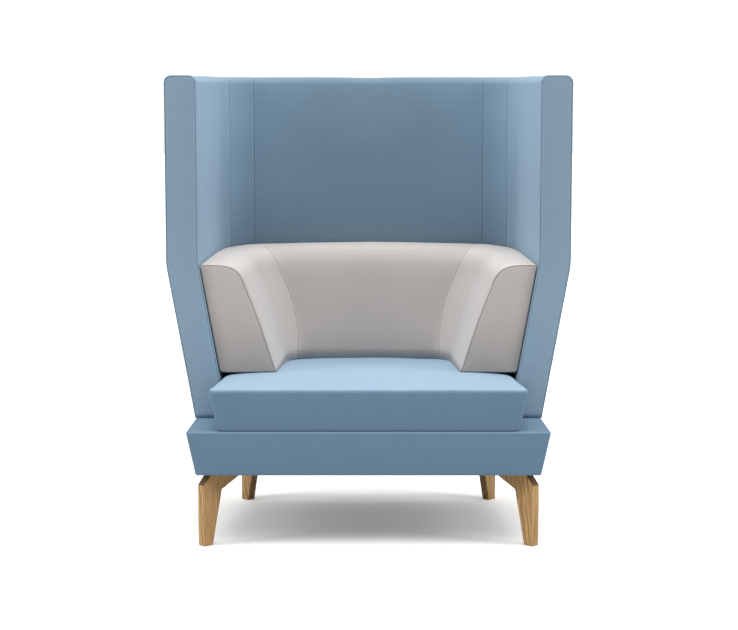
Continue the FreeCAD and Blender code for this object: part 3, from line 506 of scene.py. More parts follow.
def tub_xy(U, W_, hw, yf, yr, rf, rr, inset, side=None):
    """Square [-1, 1] x [-1, 1] to a plan with splayed sides and round corners."""
    Wd = hw - inset
    y0, y1 = yf + inset, yr - inset
    a = np.asarray(U, float) * Wd
    b = y0 + (np.asarray(W_, float) + 1) / 2 * (y1 - y0)
    for r, rear in ((max(rf - inset, 1.5), False), (max(rr - inset, 1.5), True)):
        p = (np.abs(a) - (Wd - r)) / r
        q = (b - (y1 - r)) / r if rear else ((y0 + r) - b) / r
        m = (p > 0) & (q > 0)
        pp = p * np.sqrt(np.maximum(0, 1 - q * q / 2))
        qq = q * np.sqrt(np.maximum(0, 1 - p * p / 2))
        a = np.where(m, np.sign(a) * (Wd - r + pp * r), a)
        b = np.where(m, (y1 - r + qq * r) if rear else (y0 + r - qq * r), b)
    half = hw - SPLAY * (b - yf) if side is None else side(b, hw, yf)
    x = a * (half - inset * NORM) / Wd
    return x, b


def ring_of(us, ws):
    """The square grid's border, once round, as (u, w) pairs and grid indices."""
    nu, nw = len(us), len(ws)
    idx = [(i, 0) for i in range(nu)] + [(nu - 1, j) for j in range(1, nw)] \
        + [(i, nw - 1) for i in range(nu - 2, -1, -1)] + [(0, j) for j in range(nw - 2, 0, -1)]
    return idx


class Builder:
    """Collects grids and rings that share points."""

    def __init__(self):
        self.v, self.f, self.fab, self.seam, self.mat = [], [], [], [], []

    def add(self, P, fab, seam):
        s = len(self.v)
        P = np.asarray(P, float).reshape(-1, 3)
        self.v.extend(P)
        self.fab.extend(np.asarray(fab, float).reshape(-1, 3))
        self.seam.extend(np.asarray(seam, float).reshape(-1))
        return s + np.arange(len(P))

    def quad_grid(self, ids, mat=0):
        a, b, c, d = ids[:-1, :-1], ids[:-1, 1:], ids[1:, 1:], ids[1:, :-1]
        q = np.stack([a, b, c, d], -1).reshape(-1, 4)
        self.f.extend(q)
        self.mat.extend([mat] * len(q))

    def band(self, r0, r1, mat=0):
        a, b = r0, np.roll(r0, -1)
        c, d = np.roll(r1, -1), r1
        q = np.stack([a, b, c, d], -1)
        self.f.extend(q)
        self.mat.extend([mat] * len(q))

    def build(self, name, mirror=False):
        o = new_object(name, self.v, self.f, self.fab, self.seam, mirror=mirror)
        if len(o.data.polygons) == len(self.mat):
            o.data.polygons.foreach_set("material_index", self.mat)
        return o


def ring_length(P):
    d = np.linalg.norm(np.diff(np.concatenate([P, P[:1]]), axis=0), axis=1)
    return np.concatenate([[0], np.cumsum(d)[:-1]]) * 0.001


def side_lists(W_, L_, step, fine=(0.0, 0.8, 2.0, 4.0, 7.0, 11.0, 17.0, 26.0)):
    us = graded(2 * W_, True, True, step, fine) / W_ - 1
    ws = graded(L_, True, True, step, fine) / (L_ / 2) - 1
    return us, ws


def base_side(b, hw, yf):
    """Half width of the base at y = b: nearly straight up to the wing, then parallel to it."""
    bend = hw - BASE_SPLAY * (WING_Y - yf)
    t = b - WING_Y
    soft = 10.0
    far = np.where(t <= -soft, 0.0, np.where(t >= soft, t, (t + soft) ** 2 / (4 * soft)))
    return np.where(t < 0, hw - BASE_SPLAY * (b - yf), bend - BASE_SPLAY * t) - (SPLAY - BASE_SPLAY) * far


def make_base():
    def par(z):
        t = (z - BASE_Z0) / (BASE_Z1 - BASE_Z0)
        return (477.0 + 25.5 * t, -371.0 - 9.0 * t, 272.0 + 28.0 * t, 8.0, 100.0 + 25.0 * t)

    def plan(U, W_, z, inset):
        hw, yf, yr, rf, rr = par(z)
        return tub_xy(U, W_, hw, yf, yr, rf, rr, inset, base_side)
    us, ws = side_lists(490.0, 660.0, 13.0, fine=(0.0, 0.7, 1.6, 2.8, 4.5, 7.0, 11.0, 17.0, 26.0))
    idx = ring_of(us, ws)
    ur = np.array([us[i] for i, j in idx])
    wr = np.array([ws[j] for i, j in idx])
    front = np.abs(wr + 1) < 1e-9
    b = Builder()
    # outside profile from the hem under the edge, up the side and over the top edge: (inset, z)
    prof = [(14.4, 204.6), (13.0, 204.05), (8.0, 203.6), (4.6, 202.9), (3.0, 202.8), (1.7, 203.2), (0.8, 204.3), (0.3, 205.8), (0.05, 208.4)]
    for z in np.linspace(213.0, 309.0, 9):
        prof.append((0.0, z))
    prof += [(0.0, 315.0), (0.0, 319.0)]
    for a in (0, 12, 24, 36, 48, 60, 70, 78):
        prof.append((6.5 * (1 - cos(radians(a))), 320.5 + 6.5 * sin(radians(a))))
    prof += [(5.7, 326.4), (6.0, 326.15), (6.4, 326.4), (7.2, 326.9), (9.5, 327.0), (14.0, 327.0), (19.0, 327.0)]
    outer = []
    for k, (i, z) in enumerate(prof):
        x, y = plan(ur, wr, min(z, BASE_Z1), i)
        P = np.stack([x, y, np.full_like(x, z)], -1)
        t = np.clip((z - 206) / (322 - 206), 0, 1)
        bulge = 1.6 * sin(pi * t) if 206 < z < 322 else 0.0
        c = np.array([0.0, -40.0, 0.0])
        n = P - c
        n[:, 2] = 0
        side = np.abs(n[:, 0]) / 480.0 > np.abs(n[:, 1]) / 330.0
        nn = np.where(side[:, None], np.stack([np.sign(n[:, 0]), 0 * x, 0 * x], -1), np.stack([0 * x, np.sign(n[:, 1]), 0 * x], -1))
        edge = np.where(side, 1 - np.abs(wr) ** 8, 1 - np.abs(ur) ** 8)
        w = low_noise(P, 110.0, 31.0) * 0.35 + low_noise(P, 33.0, 35.0) * 0.12
        P = P + nn * ((bulge + w * (1.0 if 208 < z < 318 else 0.2)) * edge)[:, None]
        L = ring_length(P)
        s = np.full(len(x), abs(z - 326.15) + abs(i - 6.0) if z > 300 else 30.0)
        outer.append(b.add(P, np.stack([L, np.full_like(L, (z - i if z < 326 else 320.0 + i) * 0.001), 0 * L], -1), s * 0.001))
        if k:
            b.band(outer[-2], outer[-1])
    # top face
    U, W_ = np.meshgrid(us, ws, indexing="ij")
    x, y = plan(U, W_, BASE_Z1, 19.0)
    z = np.full_like(x, 327.0)
    ids = b.add(np.stack([x, y, z], -1), np.stack([x * 0.001, y * 0.001, 0 * x], -1), np.full(x.size, 0.05)).reshape(x.shape)
    lookup = np.arange(len(b.v))
    for k, (i, j) in enumerate(idx):
        lookup[ids[i, j]] = outer[-1][k]
    b.quad_grid(lookup[ids])
    # inside: up the rails and over them
    inner = []
    for i, zc in [(14.4, 205.2), (14.3, 240.0), (14.2, 290.0), (14.2, 305.7)]:
        x, y = plan(ur, wr, zc, i)
        P = np.stack([x, y, np.full_like(x, zc)], -1)
        L = ring_length(P)
        inner.append(b.add(P, np.stack([L, np.full_like(L, zc * 0.001), 0 * L], -1), np.full(len(L), 0.03)))
        b.band(outer[0] if len(inner) == 1 else inner[-2], inner[-1])
    x, y = plan(U, W_, 305.7, 14.2)
    ids = b.add(np.stack([x, y, np.full_like(x, 305.7)], -1), np.stack([x * 0.001, y * 0.001, 0 * x], -1), np.full(x.size, 0.03)).reshape(x.shape)
    lookup = np.arange(len(b.v))
    for k, (i, j) in enumerate(idx):
        lookup[ids[i, j]] = inner[-1][k]
    b.quad_grid(lookup[ids])
    o = b.build("base_pad")
    drop_loose(o)
    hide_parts("base_cover", "base_foam")
    return o


def drop_loose(o):
    bm = bmesh.new()
    bm.from_mesh(o.data)
    loose = [v for v in bm.verts if not v.link_faces]
    bmesh.ops.delete(bm, geom=loose, context="VERTS")
    bmesh.ops.recalc_face_normals(bm, faces=bm.faces)
    bm.to_mesh(o.data)
    bm.free()


SEAT_EDGE = 439.0
SEAT_SEAM = 437.6
# the cushion starts slack and the simulation fills it; without it the same fullness is modelled
CROWN, BORDER = ((6.0, 1.2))
SEAT_Y0, SEAT_Y1 = -380.0, 198.0


def seat_par(z):
    t = min(1.0, (z - BASE_Z1) / (SEAT_EDGE - BASE_Z1))
    return (417.0 + 22.5 * t, -377.0 - 3.0 * t, 198.0, 16.0, 108.0)


def make_seat():
    us, ws = side_lists(432.0, 575.0, 11.0, fine=(0.0, 0.7, 1.6, 3.0, 5.0, 8.0, 12.0, 18.0))
    idx = ring_of(us, ws)
    ur = np.array([us[i] for i, j in idx])
    wr = np.array([ws[j] for i, j in idx])
    b = Builder()
    prof = [(9.0, 325.9), (6.0, 326.0), (3.4, 326.4), (1.7, 327.4), (0.7, 329.1), (0.2, 331.8), (0.0, 336.0)]
    prof += [(0.0, z) for z in np.linspace(351.0, 415.0, 8)]
    prof += [(0.0, 422.0), (0.0, 428.0), (0.05, 432.5), (0.3, 435.2), (0.7, 436.5), (1.2, 437.2), (1.7, SEAT_SEAM)]
    rings = []
    for k, (i, z) in enumerate(prof):
        hw, yf, yr, rf, rr = seat_par(z)
        x, y = tub_xy(ur, wr, hw, yf, yr, rf, rr, i)
        t = np.clip((z - 328) / (436 - 328), 0, 1)
        bulge = BORDER * sin(pi * t) ** 0.8
        P = np.stack([x, y, np.full_like(x, z)], -1)
        front = np.abs(wr + 1) < 1e-9
        rear = np.abs(wr - 1) < 1e-9
        side = np.abs(np.abs(ur) - 1) < 1e-9
        amt_f = np.where(front, 1 - np.abs(ur) ** 6, 0.0)
        amt_s = np.where(side, 1 - np.abs(wr) ** 6, 0.0)
        amt_r = np.where(rear, 1 - np.abs(ur) ** 6, 0.0)
        pull = 2.5 * t
        P[:, 1] -= amt_f * (bulge - pull * amt_f)
        P[:, 1] += amt_r * (bulge - pull)
        P[:, 0] += np.sign(P[:, 0]) * amt_s * (bulge * 0.8 - pull)
        w = low_noise(P, 70.0, 41.0) * 0.6 + low_noise(P, 24.0, 43.0) * 0.25
        P[:, 1] += w * amt_f * 1.0
        if z > 425:
            P[:, 2] += low_noise(np.stack([P[:, 0], P[:, 1], 0 * P[:, 0]], -1), 55.0, 47.0) * 1.4
        L = ring_length(P)
        s = min(abs(SEAT_SEAM - z), 30.0)
        rings.append(b.add(P, np.stack([L, np.full_like(L, z * 0.001), 0 * L], -1), np.full(len(L), s * 0.001)))
        if k:
            b.band(rings[-2], rings[-1], 1)
    # top: from the seam over the rounded edge to the crown
    U, W_ = np.meshgrid(us, ws, indexing="ij")
    hw, yf, yr, rf, rr = seat_par(SEAT_EDGE)
    seam_ring_in = 1.7
    x, y = tub_xy(U, W_, hw, yf, yr, rf, rr, seam_ring_in)
    dx = (1 - np.abs(U)) * (hw - seam_ring_in)
    dy = (1 - np.abs(W_)) * (yr - yf - 2 * seam_ring_in) / 2
    de = np.minimum(dx, dy)

    def g(d):
        return (1 - np.exp(-d / 78.0)) / 0.97
    z = SEAT_SEAM + CROWN * (1 - np.exp(-dx / 115.0)) * (1 - np.exp(-(y - SEAT_Y0) / 78.0))
    z += 3.4 * np.exp(-(x / 150.0) ** 2) * sstep((y + 120.0) / 220.0)
    # rounded shoulder just inside the seam
    sh = np.clip(1 - de / 27.0, 0, 1)
    z += 11.0 * np.sqrt(np.maximum(0, 1 - sh ** 2.1))
    # the edge stands out again over the seam
    out = 0.9 * np.sqrt(np.maximum(0, 1 - (1 - np.clip(de / 4.0, 0, 1)) ** 2)) * np.clip(1 - de / 14.0, 0, 1)
    fr = (dy < dx) & (W_ < 0)
    re = (dy < dx) & (W_ > 0)
    si = ~(fr | re)
    y = y - np.where(fr, out, 0) + np.where(re, out, 0)
    x = x + np.sign(x) * np.where(si, out, 0)
    pull = 2.5
    af, as_ = (1 - np.abs(U) ** 6), (1 - np.abs(W_) ** 6)
    y = y + np.where(W_ < 0, pull * af * np.exp(-dy / 90.0), -pull * af * np.exp(-dy / 90.0))
    x = x - np.sign(x) * pull * as_ * np.exp(-dx / 90.0)
    P = np.stack([x, y, z], -1)
    flat = np.stack([x, y, 0 * x], -1).reshape(-1, 3)
    wv = (low_noise(flat, 160.0, 51.0) * 1.3 + low_noise(flat, 60.0, 53.0) * 0.5).reshape(x.shape)
    P[..., 2] += wv * sstep(de / 30.0)
    edge_wave = (low_noise(np.stack([x, y, 0 * x], -1).reshape(-1, 3), 55.0, 47.0) * 1.4).reshape(x.shape)
    P[..., 2] += edge_wave * np.clip(1 - de / 25.0, 0, 1)
    ids = b.add(P, np.stack([x * 0.001, y * 0.001, 0 * x], -1), np.minimum(de, 50.0) * 0.001).reshape(x.shape)
    lookup = np.arange(len(b.v))
    for k, (i, j) in enumerate(idx):
        lookup[ids[i, j]] = rings[-1][k]
    b.quad_grid(lookup[ids], 0)
    # underside
    hw, yf, yr, rf, rr = seat_par(328.0)
    x, y = tub_xy(U, W_, hw, yf, yr, rf, rr, 9.0)
    ids = b.add(np.stack([x, y, np.full_like(x, 328.0)], -1), np.stack([x * 0.001, y * 0.001, 0 * x], -1), np.full(x.size, 0.03)).reshape(x.shape)
    lookup = np.arange(len(b.v))
    for k, (i, j) in enumerate(idx):
        lookup[ids[i, j]] = rings[0][k]
    b.quad_grid(lookup[ids], 1)
    o = b.build("seat_cushion")
    drop_loose(o)
    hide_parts("seat_cover_top", "seat_cover_border", "seat_cover_under", "seat_foam", "seat_wadding")
    return o


# ---------------------------------------------------------------------------
# grey arm and back unit
# ---------------------------------------------------------------------------

def bowl_section():
    """Levels (z', arm flare, back recline, radius) up the inner face and over the rim, smooth."""
    P = np.array(BOWL)
    key = np.concatenate([[0], np.cumsum(np.hypot(np.diff(P[:, 0]), np.diff(P[:, 1])))])
    t = np.concatenate([np.linspace(0, key[4], 22)[:-1], np.linspace(key[4], key[-1], 15)])
    out = []
    for tt in t:
        k = min(max(int(np.searchsorted(key, tt, "right")) - 1, 0), len(key) - 2)
        h = key[k + 1] - key[k]
        s = (tt - key[k]) / h

        def tangent(i):
            if i == 0:
                return (P[1] - P[0]) / (key[1] - key[0])
            if i == len(key) - 1:
                return (P[-1] - P[-2]) / (key[-1] - key[-2])
            a = (P[i] - P[i - 1]) / (key[i] - key[i - 1])
            c = (P[i + 1] - P[i]) / (key[i + 1] - key[i])
            return (a * (key[i + 1] - key[i]) + c * (key[i] - key[i - 1])) / (key[i + 1] - key[i - 1])
        m0, m1 = tangent(k) * h, tangent(k + 1) * h
        out.append((2 * s ** 3 - 3 * s ** 2 + 1) * P[k] + (s ** 3 - 2 * s ** 2 + s) * m0
                   + (-2 * s ** 3 + 3 * s ** 2) * P[k + 1] + (s ** 3 - s ** 2) * m1)
    return np.array(out), t / key[-1]


LEVELS, LEVEL_T = bowl_section()
N_UNIT = sqrt(1 + ARM_CLOSE ** 2)
A_ARM = degrees(atan2(ARM_CLOSE, 1.0))


def bowl_xy(part, f, ea, eb, r, seam_angle):
    """Inner path of the unit. part 0: arm, f from 0 at the front to 1; part 1: corner up to the seam;
    part 2: corner after the seam; part 3: back, f from 0 at the corner to 1 in the middle."""
    x0, yb = ARM_IN_X + ea, BACK_Y + eb
    cy = yb - r
    cx = x0 - ARM_CLOSE * (cy - UNIT_Y) - r * N_UNIT
    if part == 0:
        y1 = cy + r * sin(radians(A_ARM))
        y = UNIT_Y + (y1 - UNIT_Y) * f
        return x0 - ARM_CLOSE * (y - UNIT_Y), y
    if part in (1, 2):
        a = A_ARM + (seam_angle - A_ARM) * f if part == 1 else seam_angle + (90.0 - seam_angle) * f
        return cx + r * cos(radians(a)), cy + r * sin(radians(a))
    return cx * (1 - f), yb


def outer_xy(part, f, depth, seam_out):
    """Outer path of the unit at a depth from the shell's outer face."""
    if part == 0:
        y1 = CY + (CORNER_R - depth) * sin(radians(A0))
        y = UNIT_Y + (y1 - UNIT_Y) * f
        return HALF_W - SPLAY * (y - WING_Y) - depth * NORM, y
    if part in (1, 2):
        a = A0 + (seam_out - A0) * f if part == 1 else seam_out + (90.0 - seam_out) * f
        r = CORNER_R - depth
        return CX + r * cos(radians(a)), CY + r * sin(radians(a))
    return CX * (1 - f), Y_REAR - depth


SEAM_Z = (457, 480, 500, 520, 551, 605, 650, 690, 725, 740, 755, 763, 766)
SEAM_ANGLE = (56, 62.5, 68, 72.5, 76, 78.5, 77, 73, 69.5, 67, 66.5, 69, 73)


TOP_X = (0, 100, 206, 305, 366, 412, 442, 472, 499)
TOP_LIFT = (6.4, 5.2, 3.3, 0.9, -0.4, -3.4, -4.2, 0.6, 3.0)


def top_lift(x, y, z):
    """How much the padding stands higher along the top."""
    v = float(np.interp(abs(x), TOP_X, TOP_LIFT))
    return v * float(sstep((z - 705.0) / 70.0)) * float(sstep((y - 90.0) / 90.0))


def unit_section(part, f):
    """Closed section loop of the unit at one station: inner face from the bottom up, rim, top, outer edge, outer face down, underside."""
    pts = []
    last = len(LEVELS) - 1
    for k, (zp, ea, eb, r) in enumerate(LEVELS):
        sa = float(np.interp(zp, SEAM_Z, SEAM_ANGLE))
        x, y = bowl_xy(part, f, ea, eb, r, sa)
        z = zp + RISE * (y - UNIT_Y)
        pts.append((x, y, max(z, UNIT_Z0) if k else UNIT_Z0))
    xi, yi, zi = pts[-1]
    # over the top to the outer edge
    top_d = UNIT_DEPTH
    xo, yo = outer_xy(part, f, top_d, 58.0)
    for s in (0.25, 0.5, 0.75):
        x, y = xi + (xo - xi) * s, yi + (yo - yi) * s
        pts.append((x, y, UNIT_TOP + RISE * (y - UNIT_Y) + 1.2 * sin(pi * s)))
    zo = UNIT_TOP + RISE * (yo - UNIT_Y)
    R = 7.0
    for a in (0, 15, 30, 45, 60, 75, 90):
        dd = R * (1 - sin(radians(a)))
        xx, yy = outer_xy(part, f, top_d + dd, 58.0)
        pts.append((xx, yy, zo - R + R * cos(radians(a))))
    for z in np.linspace(zo - 22.0, UNIT_Z0 + 9.0, 20):
        xx, yy = outer_xy(part, f, UNIT_DEPTH + float(draw_in(z)), 58.0)
        pts.append((xx, yy, z))
    R = 9.0
    for a in (15, 30, 45, 60, 75, 90):
        dd = R * (1 - cos(radians(a)))
        zz = UNIT_Z0 + R * (1 - sin(radians(a)))
        xx, yy = outer_xy(part, f, UNIT_DEPTH + float(draw_in(zz)) + dd, 58.0)
        pts.append((xx, yy, zz))
    x0, y0, z0 = pts[0]
    xe, ye, ze = pts[-1]
    for s in (0.33, 0.67, 0.92):
        pts.append((xe + (x0 - xe) * s, ye + (y0 - ye) * s, UNIT_Z0))
    pts = [(x, y, z + top_lift(x, y, z)) for x, y, z in pts]
    return np.array(pts)


def loop_normals(P, closed=True):
    """Outward normals of the section loop in its own plane (points run inner bottom, up, over, down)."""
    t = np.roll(P, -1, 0) - np.roll(P, 1, 0)
    # plane's normal from the loop's area vector
    c = P.mean(0)
    area = np.zeros(3)
    for a, b_ in zip(P, np.roll(P, -1, 0)):
        area += np.cross(a - c, b_ - c)
    area /= np.linalg.norm(area)
    n = np.cross(t, area)
    n /= np.maximum(np.linalg.norm(n, axis=1), 1e-9)[:, None]
    return n


def unit_stations():
    arm = [(0, f) for f in np.linspace(0.0, 1.0, 26)]
    c1 = [(1, f) for f in np.linspace(0.0, 1.0, 15)][1:]
    return arm, c1


def make_unit():
    n_in = len(LEVELS)
    # ---- arm pads
    arm, c1 = unit_stations()
    fine = [0.92, 0.955, 0.975, 0.99, 0.997, 1.0]
    c1 = [(1, f) for f in list(np.linspace(0.0, 0.88, 12))[1:] + fine]
    nose = [(1.10, 10.0), (1.08, 4.0), (1.06, 1.9), (1.0, 0.9), (0.92, 0.35), (0.76, 0.1), (0.55, 0.12), (0.34, 0.7), (0.17, 1.7), (0.06, 3.2), (0.01, 5.4)]
    S0 = unit_section(0, 0.0)
    N0 = loop_normals(S0)
    # the inner side and the top carry a seamed turn-over; at the outer side and below the panel itself turns the corner
    wk = np.zeros(len(S0))
    wk[:n_in + 4] = 1.0
    wk[n_in + 4:n_in + 9] = (0.85, 0.6, 0.35, 0.15, 0.05)
    wk[0], wk[1], wk[-1], wk[-2], wk[-3] = 0.75, 0.95, 0.45, 0.2, 0.05
    e = 0.8 + 1.9 * wk
    rows, seam = [], []
    for share, back in nose:
        P = S0 - N0 * (share * e)[:, None]
        bk = wk * back + (1 - wk) * max(back, 3.6)
        P[:, 1] = UNIT_Y + bk
        P[:, 0] += -ARM_CLOSE * bk
        rows.append(P)
        seam.append(0.0 if share > 1.05 else 2.0 + (1.05 - share) * 8)
    stations = [(0, f) for f in np.linspace(0.04, 1.0, 25)] + c1
    secs = [unit_section(p, f) for p, f in stations]
    mids = np.array([s[n_in // 2] for s in secs])
    run = np.concatenate([[0], np.cumsum(np.linalg.norm(np.diff(mids, axis=0), axis=1))])
    L = run[-1]
    for P, rr in zip(secs, run):
        N = loop_normals(P)
        d = seam_dip(L - rr, 1.1, 3.0, 0.7, 14.0)
        crown = np.zeros(len(P))
        k = np.arange(n_in)
        crown[:n_in] = 3.0 * np.sin(pi * np.clip(k / (n_in - 1), 0, 1)) * sin(pi * min(1, 0.15 + 0.85 * rr / L)) ** 0.7
        w = 0.5 * low_noise(P, 85.0, 61.0) + 0.2 * low_noise(P, 31.0, 63.0)
        inner_mask = np.zeros(len(P))
        inner_mask[:n_in + 8] = 1.0
        P2 = P + N * ((crown + w * inner_mask * sstep((L - rr) / 12.0)) - d * 1.0)[:, None]
        P2[:, 2] = np.maximum(P2[:, 2], UNIT_Z0 - 0.2)
        rows.append(P2)
        seam.append(min(L - rr, 40.0))
    F = np.array(rows)
    seam = np.repeat(np.array(seam)[:, None], F.shape[1], 1)
    n0, n1 = F.shape[:2]
    fab = cloth_coords(F, ri=n0 // 2, rj=n_in // 2)
    faces = list(quads(n0, n1, 0, False, True))
    faces.append(list(range(n1))[::-1])
    faces.append(list(range((n0 - 1) * n1, n0 * n1)))
    for side, m in (("right", False), ("left", True)):
        o = new_object("arm_pad_" + side, F.reshape(-1, 3), faces, fab.reshape(-1, 3), seam.reshape(-1) * 0.001, mirror=m)
        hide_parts("arm_cover_" + side, "arm_foam_" + side)
    # ---- front panels of the arms
    out = S0 - N0 * (1.14 * e + 0.25 * wk - 0.3 * (1 - wk))[:, None]
    poly = np.concatenate([out, out[:1]])[:, [0, 2]]
    seam_poly = out[:n_in + 6][:, [0, 2]]
    z_lo, z_hi = out[:, 2].min() + 0.02, out[:, 2].max() - 0.02
    zs = z_lo + graded(z_hi - z_lo, True, True, 12.0, fine=(0.0, 0.3, 0.9, 1.8, 3.2, 5.2, 8.0, 11.5, 16.0, 21.0, 27.0))
    xin, xout = [], []
    for z in zs:
        xs = []
        for (ax, az), (bx, bz) in zip(poly[:-1], poly[1:]):
            if (az - z) * (bz - z) <= 0 and abs(az - bz) > 1e-9:
                xs.append(ax + (bx - ax) * (z - az) / (bz - az))
        xin.append(min(xs))
        xout.append(max(xs))
    xin, xout = np.array(xin), np.array(xout)
    base = graded(100.0, True, True, 9.0, fine=(0.0, 0.3, 0.9, 1.8, 3.2, 5.2, 8.0, 12.0)) / 100.0
    X = xin[:, None] + (xout - xin)[:, None] * base[None, :]
    Z = np.repeat(zs[:, None], len(base), 1)
    dist = polyline_distance(X, Z, poly)
    P = np.stack([X, 0 * X, Z], -1).reshape(-1, 3)
    wav = (0.6 * low_noise(P, 70.0, 71.0) + 0.3 * low_noise(P, 27.0, 73.0)).reshape(X.shape)
    puff = 2.2 * sstep(dist / 42.0)
    sdist = polyline_distance(X, Z, seam_poly)
    turn = np.clip(1 - dist / 3.2, 0.0, 1.0)
    near = np.exp(-(np.maximum(0.0, sdist - dist) / 1.5) ** 2)       # 1 where the nearest edge is a seam
    Y = UNIT_Y - puff + near * seam_dip(dist, 1.0, 2.2, 0.35, 7.0) + (1 - near) * 3.2 * (1 - np.sqrt(np.maximum(0.0, 1 - turn ** 2)))
    Y += wav * 0.4 * sstep(dist / 8.0)
    F2 = np.stack([X, Y, Z], -1)
    B2 = F2.copy()
    B2[..., 1] = UNIT_Y + 9.6
    B2[..., 0] -= ARM_CLOSE * 9.6
    fab2 = cloth_coords(F2.transpose(1, 0, 2), ri=len(base) // 2, rj=len(zs) // 2).transpose(1, 0, 2)
    for side, m in (("right", False), ("left", True)):
        o = slab("arm_front_pad_" + side, F2, B2, fab2, sdist * 0.001, m)
        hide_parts("arm_front_panel_" + side)
    # ---- back pad
    half = [(2, f) for f in [0.0, 0.01, 0.025, 0.05, 0.09, 0.14, 0.2, 0.28] + list(np.linspace(0.38, 1.0, 7))]
    half += [(3, f) for f in np.linspace(0.0, 1.0, 22)[1:]]
    secs = [unit_section(p, f) for p, f in half]
    other = [s * np.array([-1.0, 1.0, 1.0]) for s in secs[:-1]][::-1]
    mids = np.array([s[n_in // 2] for s in secs + other])
    run = np.concatenate([[0], np.cumsum(np.linalg.norm(np.diff(mids, axis=0), axis=1))])
    L = run[-1]
    rows, seam = [], []
    for n, (P, rr) in enumerate(zip(secs + other, run)):
        N = loop_normals(P)
        if n >= len(secs):
            N = loop_normals(P * np.array([-1.0, 1.0, 1.0])) * np.array([-1.0, 1.0, 1.0])
        ds = min(rr, L - rr)
        d = seam_dip(ds, 1.1, 3.0, 0.7, 14.0) + 0.2
        crown = np.zeros(len(P))
        k = np.arange(n_in)
        crown[:n_in] = 5.0 * np.sin(pi * np.clip(k / (n_in - 1), 0, 1)) * sin(pi * rr / L) ** 0.6
        w = 0.6 * low_noise(P, 95.0, 81.0) + 0.2 * low_noise(P, 35.0, 83.0)
        inner_mask = np.zeros(len(P))
        inner_mask[:n_in + 8] = 1.0
        P2 = P + N * ((crown + w * inner_mask * sstep(ds / 12.0)) - d)[:, None]
        P2[:, 2] = np.maximum(P2[:, 2], UNIT_Z0 - 0.2)
        rows.append(P2)
        seam.append(min(ds, 40.0))
    F = np.array(rows)
    seam = np.repeat(np.array(seam)[:, None], F.shape[1], 1)
    n0, n1 = F.shape[:2]
    # the two sides of the seam stay a hair apart
    fab = cloth_coords(F, ri=n0 // 2, rj=n_in // 2)
    faces = list(quads(n0, n1, 0, False, True))
    faces.append(list(range(n1))[::-1])
    faces.append(list(range((n0 - 1) * n1, n0 * n1)))
    o = new_object("back_pad", F.reshape(-1, 3), faces, fab.reshape(-1, 3), seam.reshape(-1) * 0.001)
    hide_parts("back_cover", "back_foam")


